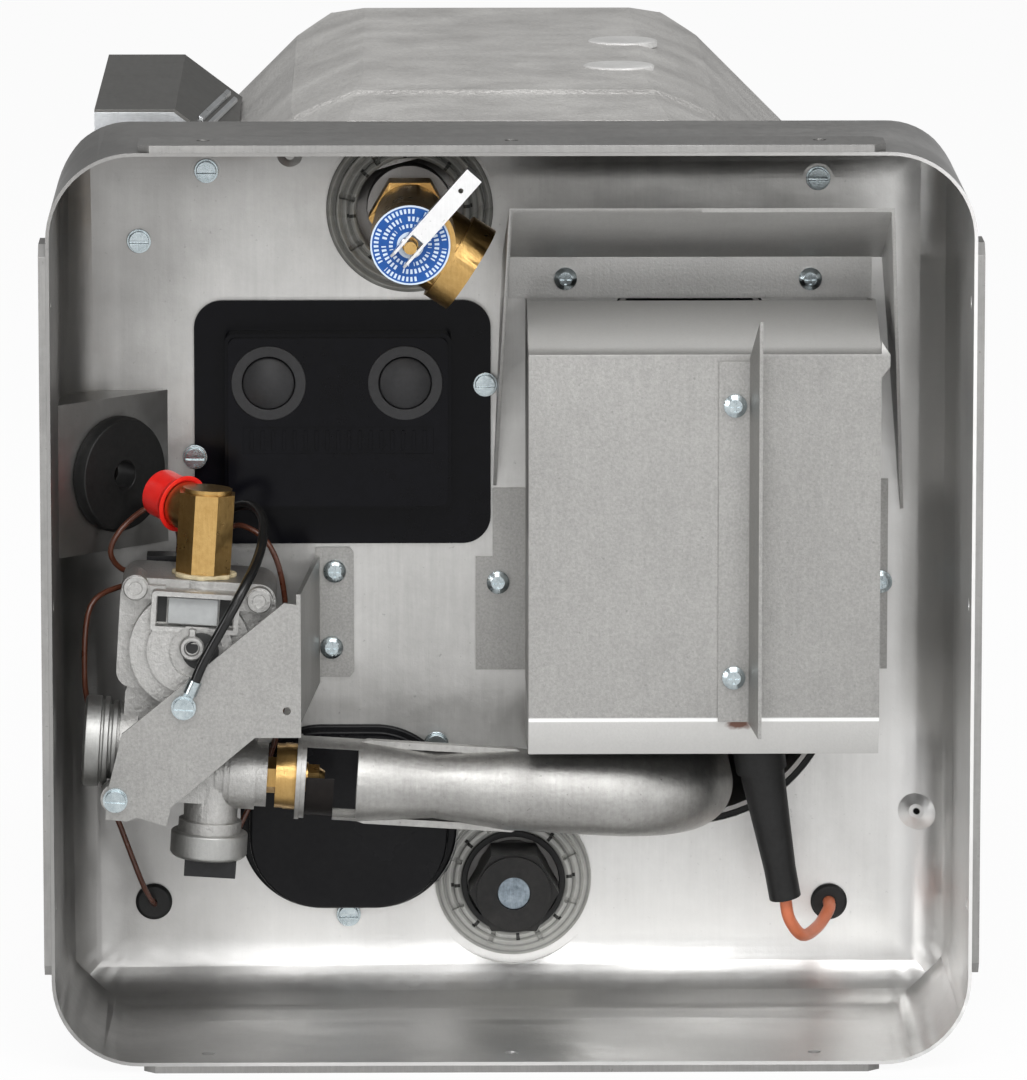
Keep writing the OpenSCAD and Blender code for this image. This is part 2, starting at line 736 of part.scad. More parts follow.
module relief_pin() {
    color("silver") place() lever_frame() translate([0, floor_y - pin_off, -lever_width / 2 - 0.5])
        cylinder(r = pin_r, h = lever_width + 1);
}

module relief_probe() {
    color("peru") place() at([relief_x, relief_z]) {
        ycyl(3, floor_y - hex_front + 5.7, tank_front + 16);
        ycyl(4.6, tank_front + 16 - tiny, tank_front + 106);
    }
}

module relief_lever() {
    wall = 0.8;
    color("gainsboro") place() lever_frame() translate([0, floor_y - pin_off, 0]) difference() {
        translate([0, 0, -lever_width / 2]) linear_extrude(lever_width) polygon([
            [-6.8, 0.5], [-2.6, 4.1], [4, 4.1], [10, 2.6], [lever_length - 1.5, 1.4], [lever_length, 0],
            [lever_length - 1, -2.4], [-5, -2.4], [-6.8, -1]]);
        translate([-8, wall - 2.4, wall - lever_width / 2]) cube([lever_length + 7, 8,
            lever_width - 2 * wall]);
        translate([-8, -4, -stem_r - 0.2]) cube([12, 3, 2 * stem_r + 0.4]);
        translate([0, 0, -lever_width]) cylinder(r = pin_r + slide_fit, h = 2 * lever_width);
        translate([lever_length - 8, -4, 0]) rotate([-90, 0, 0]) cylinder(r = 0.9, h = 4);
    }
}

module box_outline(grow) rounded(box_w + 2 * grow, box_h + 2 * grow, 3);

module control_cover() {
    top = floor_y - control_rise;
    color("#202124") place() difference() {
        union() {
            at([control_x, control_z]) along_y(floor_y - control_flange, floor_y)
                rounded(control_w, control_h, 10);
            at([box_x, box_z]) along_y(top + 2.5, floor_y) box_outline(1.2);
            at([box_x, box_z]) along_y(top, floor_y) box_outline(0);
        }
        at([box_x, box_z]) along_y(top + cover_wall, floor_y + over) box_outline(-cover_wall);
        for (x = button_xs) at([x, button_z]) ycyl(button_r + seat, top - over, top + 3 * cover_wall);
        for (x = button_xs) at([x, button_z]) ycyl(button_ring_r, top - over, top + 1.2);
        at([box_x, box_z - 6.4]) along_y(top - over, top + 0.7) square([67, 9.6], center = true);
        for (p = control_screws) at(p) ycyl(screw_hole_r + 0.4, floor_y - 2 * control_flange, floor_y + over);
    }
    color("#202124") place() at([box_x, box_z - 6.4]) for (k = [-8 : 8])
        translate([k * 3.8, top, 0]) block([-0.6, 0, -3.4], [0.6, 0.7, 3.4]);
}

module button_rings() {
    color("#3a3b3d") place() for (x = button_xs) at([x, button_z]) difference() {
        ycyl(button_ring_r, floor_y - control_rise - 0.6, floor_y - control_rise + 1.2);
        ycyl(button_r + seat, floor_y - control_rise - over, floor_y);
    }
}

// A domed cap, kept in by its rim, whose stem ends just in front of its switch
module reset_button(x) {
    front = floor_y - control_rise - 3;
    dome = 20;
    color("#2b2c2e") place() at([x, button_z]) {
        turn_y() intersection() {
            translate([0, front + dome]) circle(dome);
            translate([0, front]) square([button_r, 6]);
        }
        ycyl(button_r + 1.2, front + 5.3, front + 6.3);
        ycyl(button_stem_r, front + 6, switch_front - button_travel - seat);
    }
}

module reset_button_left() reset_button(button_xs[0]);
module reset_button_right() reset_button(button_xs[1]);

// A round switch that sits on the tank's front and looks at its button
module tank_switch(x) {
    place() at([x, button_z]) {
        ycyl(10, tank_front - 3, tank_front);
        ycyl(8.4, switch_front + 3, tank_front - 3 + tiny);
        ycyl(2.2, switch_front, switch_front + 3 + tiny);
        for (s = [-1, 1]) translate([s * 5, 0, 0])
            block([-1.6, switch_front + 1.4, -0.4], [1.6, switch_front + 3, 0.4]);
    }
}

module thermostat() color("#4a3a30") tank_switch(button_xs[0]);
module high_limit() color("#4a3a30") tank_switch(button_xs[1]);

module element_outline(grow) rounded(element_w + 2 * grow, element_h + 2 * grow, 29 + grow);

module element_cover() {
    top = floor_y - element_rise;
    color("#1b1b1d") place() difference() {
        union() {
            at([element_x, element_z]) along_y(floor_y - element_flange, floor_y) element_outline(0);
            at([element_x, element_z]) along_y(top, floor_y) element_outline(-3.5);
        }
        at([element_x, element_z]) along_y(top + cover_wall, floor_y + over)
            element_outline(-3.5 - cover_wall);
        for (p = element_screws) at(p) ycyl(screw_hole_r + 0.4, floor_y - 2 * element_flange, floor_y + over);
    }
}

module heating_element() {
    hex_y = floor_back + seat;
    bend_y = tank_front + element_length;
    color("darkgray") place() at([element_x, element_z]) {
        translate([0, hex_y - 9, 0]) rotate([-90, 0, 0])
            cylinder(r = element_hex / 2 / cos(30), h = 9, $fn = 6);
        ycyl(15.2, hex_y - tiny, tank_front + 9);
        for (s = [-1, 1]) translate([s * 9, 0, 0]) ycyl(4, tank_front + 9 - tiny, bend_y);
        for (s = [-1, 1]) translate([s * 7, 0, 0]) ycyl(2.6, hex_y - 15, hex_y - 9 + tiny);
        translate([0, bend_y, 0]) rotate_extrude(angle = 180) translate([9, 0]) circle(4);
    }
}

module valve_frame() translate([valve_x, valve_y, valve_z]) rotate([0, valve_tilt, 0]) children();

module gas_valve() {
    front = bracket_back + seat - valve_y;
    color("lightgray") place() valve_frame() difference() {
        union() {
            at([-21.5, elbow_v / 2 + 15]) along_y(-11, body_back) rounded(54, elbow_v - 30, 6);
            at([-26, 12]) along_y(-9, body_back - 5) rounded(38, 44, 7);
            at([diaphragm_u, diaphragm_v]) {
                ycyl(diaphragm_r, -17, 0);
                ycyl(diaphragm_r - 6, -19, 0);
            }
            at([-43.3, 66]) ycyl(4.6, -16, 0);
            at([-0.3, 64]) ycyl(4.6, -16, 0);
            at([-38, 64.6]) along_y(-15, 0) square([10, 5], center = true);
            at([-6, 62.4]) along_y(-15, 0) square([11, 5], center = true);
            at([recess_u, recess_v]) along_y(-20.5, 0) rounded(30.4, 14, 1.5);
            at([recess_u, recess_v - 8]) along_y(-19.6, 0) square([3, 6], center = true);
            at(bracket_on_valve[0]) ycyl(5.2, front, 0);
            at(bracket_on_valve[1]) ycyl(5.2, front, 4);
            translate([0, 0, left_cap_v]) {
                xcyl(12.6, -47, -30);
                xcyl(14.4, -46, -40);
            }
            xcyl(9.6, -20, -5);
            xcyl(10.6, -12, -5);
            xcyl(11.6, -9, -5);
            xcyl(outlet_ring_r, -7, 2);
            xcyl(outlet_ring_r - 1.2, 1, valve_neck);
            translate([bottom_cap_u, 0, bottom_cap_v + 8]) {
                cylinder(r = 9.4, h = 20);
                cylinder(r = 11, h = 4);
            }
            translate([elbow_u, 0, elbow_v - 6]) cylinder(r = 12, h = 6);
        }
        translate([0, 0, left_cap_v]) xcyl(left_cap_r + seat, -60, -47);
        at([recess_u, recess_v]) along_y(-22, -14.5) square([27, 10.6], center = true);
        at([diaphragm_u + 2, diaphragm_v]) difference() {
            ycyl(9.4, -22, -17.6);
            ycyl(3.4, -22, -17);
        }
        for (p = bracket_on_valve) at(p) ycyl(screw_hole_r, front - over, front + 9);
        translate([0, 0, left_cap_v]) xcyl(8, -50, -40);
        xcyl(5.6, -8, valve_neck + over);
        translate([elbow_u, 0, elbow_v - 10]) cylinder(r = 6.8 + slide_fit, h = 12);
    }
}

module valve_left_cap() {
    color("silver") place() valve_frame() translate([0, 0, left_cap_v]) {
        difference() {
            union() {
                xcyl(left_cap_r, -57, -47);
                translate([-58.6, 0, 0]) rotate([0, 90, 0]) cylinder(r1 = left_cap_r - 1.8, r2 = left_cap_r,
                    h = 1.6 + tiny);
            }
            xcyl(left_cap_r - 5, -60, -56.6);
            for (a = [0 : 30 : 330]) rotate([a, 0, 0]) translate([-60, left_cap_r, 0])
                rotate([0, 90, 0]) cylinder(r = 1.3, h = 20, $fn = 16);
        }
        xcyl(8 - slide_fit, -47 - tiny, -41);
    }
}

module valve_bottom_cap() {
    color("silver") place() valve_frame() translate([bottom_cap_u, 0, bottom_cap_v]) difference() {
        union() {
            cylinder(r = bottom_cap_r, h = 8);
            translate([0, 0, -1.2]) cylinder(r1 = bottom_cap_r - 1.4, r2 = bottom_cap_r, h = 1.2 + tiny);
        }
        for (a = [0 : 20 : 340]) rotate([0, 0, a]) translate([bottom_cap_r, 0, -2])
            cylinder(r = 0.7, h = 12, $fn = 16);
    }
}

module connector_block() {
    color("#1f1f21") place() valve_frame() translate([bottom_cap_u + 1, 0, bottom_cap_v - 1.2]) {
        block([-9, -8, -6], [9, 8, 0]);
        for (s = [-1, 1]) block([s * 4.6 - 0.4, -3, -10], [s * 4.6 + 0.4, 3, -6 + tiny]);
    }
}

module valve_coils() {
    color("#232326") place() {
        for (u = [-36, -10]) valve_frame() at([u, 52]) {
            ycyl(11, body_back, body_back + 15);
            ycyl(3, body_back + 15 - tiny, body_back + 18);
        }
        translate([valve_x, floor_y, valve_z]) block([-36.3, body_back - valve_off + 2.5, 58.4],
            [-7.3, body_back - valve_off + 13, 72.4]);
    }
}

module elbow_arm_frame() valve_frame() translate([elbow_u, 0, elbow_v + elbow_height - 10])
    rotate([0, -arm_rise, arm_turn]) children();

module gas_elbow() {
    color("goldenrod") place() difference() {
        union() {
            valve_frame() translate([elbow_u, 0, elbow_v + 1.6]) {
                rotate([0, 0, 22.5]) cylinder(r = elbow_flats / 2 / cos(22.5), h = elbow_height - 3.2,
                    $fn = 8);
                rotate([0, 0, 22.5]) translate([0, 0, elbow_height - 3.2 - tiny]) cylinder(
                    r = elbow_flats / 2 - 1, h = 1.6);
                translate([0, 0, -7.6]) cylinder(r = 6.8, h = 8);
            }
            elbow_arm_frame() {
                xcyl(8.4, 0, 13);
                xcyl(flare_r, 12, flare_end - 3);
                translate([flare_end - 3 - tiny, 0, 0]) rotate([0, 90, 0])
                    cylinder(r1 = flare_r, r2 = flare_r - 1.8, h = 3);
            }
        }
        elbow_arm_frame() xcyl(3.2, 2, 30);
        valve_frame() translate([elbow_u, 0, elbow_v - 8]) cylinder(r = 3.6, h = elbow_height);
    }
}

module elbow_sealant() {
    color("cornsilk") place() valve_frame() translate([elbow_u, 0, elbow_v]) difference() {
        cylinder(r = 9.8, h = 1.6);
        translate([0, 0, -over]) cylinder(r = 6.8 + slide_fit, h = 4);
    }
}

// A soft cap, open towards the elbow, that is pulled off along the fitting
module gas_inlet_cap() {
    mouth = 13.4;
    color("red") place() elbow_arm_frame() difference() {
        union() {
            xcyl(cap_r - 2, mouth, flare_end + 2.4);
            translate([mouth, 0, 0]) rotate([0, 90, 0]) cylinder(r1 = cap_r, r2 = cap_r - 2, h = 3);
        }
        xcyl(flare_r + slide_fit, mouth - over, flare_end + seat);
        translate([mouth - tiny, 0, 0]) rotate([0, 90, 0])
            cylinder(r1 = flare_r + 2, r2 = flare_r + slide_fit, h = 2.4);
    }
}

module valve_bracket() {
    run = floor_y - bracket_y;
    lean = atan((leg_end - leg_start) / run);
    color("gainsboro") place() difference() {
        translate([valve_x, 0, valve_z]) {
            along_y(bracket_y, bracket_back) polygon(bracket_outline);
            translate([leg_start, bracket_y, 22.4]) rotate([0, 0, -lean - 90])
                translate([-run / cos(lean), -bracket_sheet, 0]) cube([run / cos(lean), bracket_sheet, 45.4]);
            along_y(floor_y - bracket_sheet, floor_y) polygon([[leg_end - bracket_sheet, 24.4],
                [34.7, 24.4], [36.2, 26.4], [36.2, 69], [34.7, 71], [leg_end - bracket_sheet, 71]]);
        }
        valve_frame() for (p = bracket_on_valve) at(p) ycyl(screw_hole_r, bracket_y - valve_y - over,
            bracket_back - valve_y + over);
        translate([valve_x, 0, valve_z]) at([13.2, 26.8]) ycyl(1.4, bracket_y - over, bracket_back + over);
        for (p = foot_places) at(p) ycyl(screw_hole_r, floor_y - 3, floor_y + over);
        block([valve_x - 60, floor_y, -80], [valve_x + 60, floor_y + 9, 20]);
    }
}

module bracket_screws() {
    color("lightblue") place() {
        valve_frame() at(bracket_on_valve[0]) hex_screw(bracket_y - valve_y - 1, 8);
        valve_frame() at(bracket_on_valve[1]) hex_screw(bracket_y - valve_y, 8);
        for (p = foot_places) at(p) pan_head_screw(floor_y - bracket_sheet, 6);
    }
}

module ring_terminal() {
    color("silver") place() valve_frame() at(bracket_on_valve[0]) {
        difference() {
            union() {
                ycyl(4, bracket_y - valve_y - 1, bracket_y - valve_y);
                rotate([0, -70, 0]) block([0, bracket_y - valve_y - 1, -1.8], [9, bracket_y - valve_y, 1.8]);
            }
            ycyl(screw_hole_r, bracket_y - valve_y - 2, bracket_y - valve_y + over);
        }
        rotate([0, -70, 0]) translate([0, bracket_y - valve_y - 2.4, 0]) xcyl(2.4, 5.4, 10.4);
    }
}

module from_valve() place() translate([valve_x, floor_y, valve_z]) children();
module from_electrode() place() translate([electrode_x, floor_y, electrode_z]) children();

module earth_lead() color("#181818") from_valve() tube_along(earth_route, earth_r);

module valve_leads() {
    color("#5b3a2a") from_valve() {
        tube_along(lead_route_top, lead_r);
        tube_along(lead_route_down, lead_r);
        tube_along(lead_route_right, lead_r);
    }
}

// Hex nut, flange, collar inside the burner tube, and the nozzle
module orifice_holder() {
    inside = burner_r - burner_wall - slide_fit;
    color("gold") place() valve_frame() difference() {
        union() {
            xcyl(5.5, -6, valve_neck + tiny);
            translate([valve_neck, 0, 0]) rotate([0, 90, 0]) cylinder(r = 6.4, h = 3.2, $fn = 6);
            xcyl(11.3, valve_neck + 3, collar_u + tiny);
            xcyl(11.6, collar_u, burner_u0 + 2.4);
            xcyl(inside, burner_u0 + 0.4, burner_u0 + 2);
            xcyl(5.2, burner_u0 + 2, burner_u0 + 4);
            translate([burner_u0 + 4 - tiny, 0, 0]) rotate([0, 90, 0]) cylinder(r = 4.6, h = 4, $fn = 6);
            translate([burner_u0 + 8 - 2 * tiny, 0, 0]) rotate([0, 90, 0])
                cylinder(r1 = 3.6, r2 = 2.4, h = 2);
        }
        xcyl(0.9, -8, burner_u0 + 12);
    }
}

// The burner's outside, or its inside when shrunk by the wall
module burner_run(shrink, ends) {
    xcyl(burner_r - shrink, burner_u0 - ends, taper_u);
    translate([taper_u - tiny, 0, 0]) rotate([0, 90, 0]) cylinder(r1 = burner_r - shrink,
        r2 = burner_r - 2.6 - shrink, h = throat_u - taper_u + 2 * tiny);
    translate([throat_u, 0, 0]) rotate([0, 90, 0]) cylinder(r1 = burner_r - 2.6 - shrink,
        r2 = burner_r - shrink, h = main_u - throat_u + tiny);
    xcyl(burner_r - shrink, main_u, bend_u);
    translate([bend_u, burner_bend, 0]) rotate([0, 0, -90]) rotate_extrude(angle = 90)
        translate([burner_bend, 0]) circle(burner_r - shrink);
    translate([bend_u + burner_bend, burner_bend, 0]) ycyl(burner_r - shrink, 0,
        burner_end_y - valve_y - burner_bend - shrink);
}

module burner_tube() {
    color("silver") place() valve_frame() difference() {
        union() {
            burner_run(0, 0);
            for (s = [-1, 1]) along_y(-3, 1) polygon([[taper_u - 6, s * (burner_r - 2)],
                [taper_u + 2, s * (burner_r + 0.4)], [main_u + 2, s * (burner_r + 0.4)],
                [main_u + 6, s * (burner_r - 2)]]);
            xcyl(burner_r + 0.5, burner_u0, burner_u0 + 1.6);
        }
        burner_run(burner_wall, over);
        block([window_u, -burner_r - over, window_strip - burner_r],
            [window_u + window_length, burner_r + over, burner_r - window_strip]);
        block([window_u, -burner_r - over, -burner_r - over],
            [window_u + shutter_length, burner_r + over, 0]);
        for (k = [0 : 9]) translate([bend_u + burner_bend, burner_end_y - valve_y - 8 - 7 * k, 0])
            block([-1.2, -1.5, 0], [1.2, 1.5, 20]);
    }
}

module air_shutter() {
    outer = burner_r - burner_wall - 0.06;
    color("#3a2f28") place() valve_frame() intersection() {
        difference() {
            xcyl(outer, window_u + 0.2, window_u + shutter_length);
            xcyl(outer - 1, window_u, window_u + shutter_length + over);
        }
        along_x(window_u - over, window_u + shutter_length + over) polygon([[-1, 1], [-30, 4], [-30, -30],
            [12, -30]]);
    }
}

module spark_electrode() {
    color("ivory") from_electrode() {
        ycyl(4, -42, 23);
        ycyl(1.2, 23 - tiny, 53);
        ycyl(1.2, -48, -42 + tiny);
    }
}

module igniter_boot() {
    color("#161616") from_electrode() difference() {
        union() {
            translate([0, -48, 5]) rotate([5, -10.5, 0]) {
                translate([0, 0, -10]) cylinder(r = 8.9, h = 10);
                translate([0, 0, -47]) cylinder(r1 = 5.6, r2 = 7.8, h = 37 + tiny);
                translate([0, 0, -57.6]) cylinder(r = 5.6, h = 10.6 + tiny);
            }
            ycyl(6.6, -50, -34);
        }
        ycyl(4 + slide_fit, -42, -30);
        ycyl(1.2 + slide_fit, -49, -40);
    }
}

module igniter_lead() color("coral") from_electrode() tube_along(igniter_route, igniter_r);

// A rubber grommet turned about its bore, with a groove that grips the sheet
module grommet(flange_r, neck_r, hole_r, lip_front, lip_back, y) {
    turn_y() polygon([[hole_r, y - lip_front], [flange_r - 1, y - lip_front], [flange_r, y - lip_front * 0.5],
        [flange_r, y], [neck_r - slide_fit, y], [neck_r - slide_fit, y + pan_sheet],
        [flange_r - 2, y + pan_sheet], [flange_r - 2.5, y + pan_sheet + lip_back],
        [hole_r, y + pan_sheet + lip_back]]);
}

module gas_grommet() {
    color("#1a1a1a") place() on_pad() grommet(20.4, gas_neck_r, 5, 5, 3, 0);
}

module wire_grommets() {
    color("#1a1a1a") place() for (i = [0, 1]) at(grommet_places[i])
        grommet(6.5, grommet_neck_r, grommet_bores[i] + slide_fit, 2, 1.6, floor_y);
}

module face_gasket(x, z, r_in, r_out) {
    color("#161616") place() at([x, z]) difference() {
        ycyl(r_out, floor_back, tank_front);
        ycyl(r_in, floor_back - over, tank_front + over);
    }
}

module burner_gasket() face_gasket(fire_x, fire_z, fire_r + slide_fit, fire_r + 7);
module exhaust_gasket() face_gasket(fire_x, exhaust_z, exhaust_r + slide_fit, exhaust_r + 6);

// Side view of the hood's outside; its gusset runs from the front edge down to low
module hood_side(low) polygon([[hood_y, hood_top], [floor_y, hood_top - hood_fall], [floor_y, low]]);

// Side view of the space under the hood's top
module hood_under() {
    slope = hood_fall / hood_off;
    polygon([[hood_y - 20, hood_top - flue_sheet + 20 * slope],
        [floor_y + over, hood_top - hood_fall - flue_sheet - slope], [floor_y + over, -20],
        [hood_y - 20, -20]]);
}

// Front view of the hood, wider towards its foot
module hood_front(inset) polygon([[hood_left + inset, hood_top + 5], [hood_right - inset, hood_top + 5],
    [hood_right + 10 - inset, 16], [hood_left - 5 + inset, 16]]);

module flue_hood() {
    middle = (hood_left + hood_right) / 2;
    sides = [hood_left - 20, middle, hood_right + 20];
    color("silver") place() difference() {
        union() {
            difference() {
                intersection() {
                    for (i = [0, 1]) along_x(sides[i], sides[i + 1]) hood_side(gusset_ends[i]);
                    along_y(-over, floor_y) hood_front(0);
                }
                intersection() {
                    along_x(sides[0], sides[2]) hood_under();
                    along_y(-20, floor_y + over) hood_front(flue_sheet);
                }
            }
            along_y(floor_y - flue_sheet, floor_y)
                translate([hood_left + 1, hood_top - hood_fall - hood_flange_h])
                    square([hood_right - hood_left - 3, hood_flange_h]);
        }
        for (p = hood_screws) at(p) ycyl(screw_hole_r, floor_y - 3, floor_y + over);
    }
}

module flue_cover() {
    t = flue_sheet;
    back = floor_y;
    color("gainsboro") place() difference() {
        union() {
            difference() {
                along_x(cover_left, cover_right) polygon([[cover_y, cover_bottom], [cover_y, cover_top],
                    [cover_y + baffle_depth, cover_top + baffle_rise], [back, cover_top + 9],
                    [back, cover_bottom - 22], [cover_y + lip, cover_bottom - lip]]);
                along_x(cover_left + t, cover_right - t) polygon([[cover_y + t, cover_bottom + t * 0.4],
                    [cover_y + t, cover_top - t],
                    [cover_y + baffle_depth - t, cover_top + baffle_rise - t * 1.3],
                    [cover_y + baffle_depth, cover_top + baffle_rise + 3], [back + over, cover_top + 20],
                    [back + over, cover_bottom - 40], [cover_y + lip, cover_bottom - lip - 3],
                    [cover_y + lip + t * 0.7, cover_bottom - lip]]);
            }
            along_y(back - t, back) polygon([[cover_left + tiny, 25.6], [cover_left - 11.6, 25.6],
                [cover_left - 11.6, 1], [cover_left - 17.6, 1], [cover_left - 17.6, -39.5],
                [cover_left + tiny, -39.5]]);
            along_y(back - t, back) polygon([[cover_right - tiny, 28.6], [cover_right + 6.7, 28.6],
                [cover_right + 6.7, -39.5], [cover_right - tiny, -39.5]]);
            along_y(cover_y, cover_y + t) polygon([[cover_right - tiny, 88.6], [cover_right + 3, 84],
                [cover_right + 3, 79.7], [cover_right - tiny, 76]]);
        }
        for (x = cover_screw_x) at([x, cover_screw_z]) ycyl(screw_hole_r, back - 3, back + over);
        for (p = stiff_screws) at(p) ycyl(screw_hole_r, cover_y - over, cover_y + 3);
    }
}

module stiffener_angle() {
    t = flue_sheet;
    lean = 8;
    color("gainsboro") place() difference() {
        union() {
            translate([stiff_x, cover_y - t, cover_bottom - 0.7])
                cube([stiff_w, t, cover_top - cover_bottom - 1.6]);
            translate([stiff_x + stiff_w - t, cover_y, 0]) rotate([0, 0, lean]) translate([0, -fin_depth, 0])
                along_x(0, t) polygon([[0, cover_bottom - 3.3], [0, cover_top + 14],
                [fin_depth - t, cover_top - 1], [fin_depth - t, cover_bottom - 1.2]]);
        }
        for (p = stiff_screws) at(p) ycyl(screw_hole_r, cover_y - 3, cover_y + over);
    }
}

module flue_screws() {
    color("lightblue") place() {
        for (p = hood_screws) at(p) pan_head_screw(floor_y - flue_sheet, flue_screw_length);
        for (x = cover_screw_x) at([x, cover_screw_z])
            pan_head_screw(floor_y - flue_sheet, flue_screw_length);
        for (p = stiff_screws) at(p) pan_head_screw(cover_y - flue_sheet, 5);
    }
}

// Section of the body, inside the cover's top and slope
module junction_section() {
    t = junction_sheet;
    bend = t * tan(slope_angle / 2);
    foot = t / sin(slope_angle + 45) / sqrt(2);
    translate([junction_x, junction_z]) polygon([[0, 0], [0, junction_top - junction_z - t],
        [junction_flat - bend, junction_top - junction_z - t], [junction_w - foot, junction_w - foot]]);
}

// Base, left wall and two ends
module junction_box() {
    t = junction_sheet;
    low = t * (1 + sqrt(2));
    high = 2 * junction_w;
    color("gainsboro") place() difference() {
        along_y(junction_front, junction_back) junction_section();
        along_y(junction_front + t, junction_back - t) translate([junction_x, junction_z])
            polygon([[t, low], [t, low + high], [t + high, low + high]]);
        for (x = junction_screws_x) at([x, junction_top - junction_tab / 2]) ycyl(screw_hole_r,
            junction_back - 3, junction_back + over);
        at([junction_x + 19, junction_z + 43]) ycyl(cable_hole_r, junction_back - 3, junction_back + over);
    }
}

// Top and slope, with a slot near the front of the slope and a tab that is screwed to the back end
module junction_cover() {
    t = junction_sheet;
    color("dimgray") place() difference() {
        union() {
            translate([junction_x, junction_front, junction_top - t])
                cube([junction_flat, junction_length + t, t]);
            translate([junction_x + junction_flat, 0, junction_top]) rotate([0, slope_angle, 0])
                translate([0, junction_front, -t]) cube([slope_length, junction_length, t]);
            translate([junction_x, junction_back, junction_top - junction_tab])
                cube([junction_flat, t, junction_tab]);
        }
        for (x = junction_screws_x) at([x, junction_top - junction_tab / 2]) ycyl(screw_hole_r,
            junction_back - over, junction_back + t + over);
        translate([junction_x + junction_flat, 0, junction_top]) rotate([0, slope_angle, 0])
            translate([slope_length - 17, junction_front + 10, -3]) cube([12, 3.4, 5]);
    }
}

module junction_screws() {
    color("lightblue") place() for (x = junction_screws_x)
        translate([x, junction_back + junction_sheet, junction_top - junction_tab / 2])
            rotate([0, 0, 180]) pan_head_screw(0, 5);
}

module pan_screws() {
    color("lightblue") place() for (p = pan_screw_places) at(p) hex_screw(floor_y, 5);
}

module cover_screws() {
    color("lightblue") place() {
        for (p = control_screws) at(p) hex_screw(floor_y - control_flange, 7);
        for (p = element_screws) at(p) hex_screw(floor_y - element_flange, 7);
    }
}

front_pan();
mounting_rails();
jacket_upper();
jacket_lower();
tank_shell();
flue_tube();
front_bosses();
hot_port();
cold_port();
anode_plug();
anode_rod();
drain_collar();
drain_seal();
relief_collar();
relief_body();
relief_label();
relief_stem();
relief_pin();
relief_probe();
relief_lever();
control_cover();
button_rings();
reset_button_left();
reset_button_right();
thermostat();
high_limit();
element_cover();
heating_element();
gas_valve();
valve_left_cap();
valve_bottom_cap();
valve_coils();
connector_block();
gas_elbow();
elbow_sealant();
gas_inlet_cap();
valve_bracket();
bracket_screws();
ring_terminal();
earth_lead();
valve_leads();
orifice_holder();
burner_tube();
air_shutter();
spark_electrode();
igniter_boot();
igniter_lead();
gas_grommet();
wire_grommets();
burner_gasket();
exhaust_gasket();
flue_hood();
flue_cover();
stiffener_angle();
flue_screws();
junction_box();
junction_cover();
junction_screws();
pan_screws();
cover_screws();
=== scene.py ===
import bpy
import math
from mathutils import Matrix, Vector


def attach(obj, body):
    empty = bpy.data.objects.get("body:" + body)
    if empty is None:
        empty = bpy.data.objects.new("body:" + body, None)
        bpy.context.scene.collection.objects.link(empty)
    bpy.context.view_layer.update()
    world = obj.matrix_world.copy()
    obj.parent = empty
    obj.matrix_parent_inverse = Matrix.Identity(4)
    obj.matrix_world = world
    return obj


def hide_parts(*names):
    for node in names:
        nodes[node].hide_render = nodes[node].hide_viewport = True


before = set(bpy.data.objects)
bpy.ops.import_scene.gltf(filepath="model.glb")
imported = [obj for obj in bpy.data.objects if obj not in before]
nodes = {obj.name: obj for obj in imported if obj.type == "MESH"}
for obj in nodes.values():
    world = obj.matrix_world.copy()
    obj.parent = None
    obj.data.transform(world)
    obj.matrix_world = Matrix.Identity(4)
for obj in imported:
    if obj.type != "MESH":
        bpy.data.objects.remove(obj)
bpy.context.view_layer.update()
bpy.ops.object.select_all(action="DESELECT")


# Camera. It stands about three metres off, ten degrees above the pan and a
# little to its left, with a long lens, so the pan's floor is seen over its rim.

def spot(x, y, z):
    """A place given in millimetres from the middle of the pan's rim."""
    return Vector((x / 1000, y / 1000 - 0.2435, z / 1000 + 0.161))


line_of_sight = Vector((0.0133, 0.9848, -0.17365)).normalized()
camera_distance = 3.1126
lens_data = bpy.data.cameras.new("long_lens")
lens_data.sensor_width = 36
lens_data.lens = 303.3
lens_data.shift_x = 0.0014
lens_data.shift_y = 0.0676
lens_data.clip_end = 60
camera = bpy.data.objects.new("camera", lens_data)
bpy.context.collection.objects.link(camera)
camera.location = spot(0, 0, 0) - camera_distance * line_of_sight
camera.rotation_euler = line_of_sight.to_track_quat("-Z", "Y").to_euler()
bpy.context.scene.camera = camera
bpy.context.scene.view_settings.view_transform = "Standard"


# Floor and studio light. A pale floor that reads white to the camera and in
# the metal's reflections, one broad lamp high in front, and weaker ones beside.

def link(tree, source, target):
    tree.links.new(source, target)


def math_node(tree, operation, first, second=None, third=None, clamp=False):
    node = tree.nodes.new("ShaderNodeMath")
    node.operation = operation
    node.use_clamp = clamp
    for i, value in enumerate((first, second, third)):
        if value is None:
            continue
        if isinstance(value, (int, float)):
            node.inputs[i].default_value = value
        else:
            link(tree, value, node.inputs[i])
    return node.outputs[0]


floor_material = bpy.data.materials.new("studio_floor")
floor_material.use_nodes = True
tree = floor_material.node_tree
shader = tree.nodes["Principled BSDF"]
shader.inputs["Base Color"].default_value = (0.86, 0.86, 0.86, 1)
shader.inputs["Roughness"].default_value = 0.9
glow = tree.nodes.new("ShaderNodeEmission")
glow.inputs["Color"].default_value = (1, 1, 1, 1)
path = tree.nodes.new("ShaderNodeLightPath")
seen = math_node(tree, "MULTIPLY", path.outputs["Is Camera Ray"], 0.93)
mirrored = math_node(tree, "ADD", path.outputs["Is Glossy Ray"], path.outputs["Is Transmission Ray"])
share = math_node(tree, "MULTIPLY_ADD", mirrored, 0.34, seen, clamp=True)
blend = tree.nodes.new("ShaderNodeMixShader")
link(tree, share, blend.inputs[0])
link(tree, shader.outputs[0], blend.inputs[1])
link(tree, glow.outputs[0], blend.inputs[2])
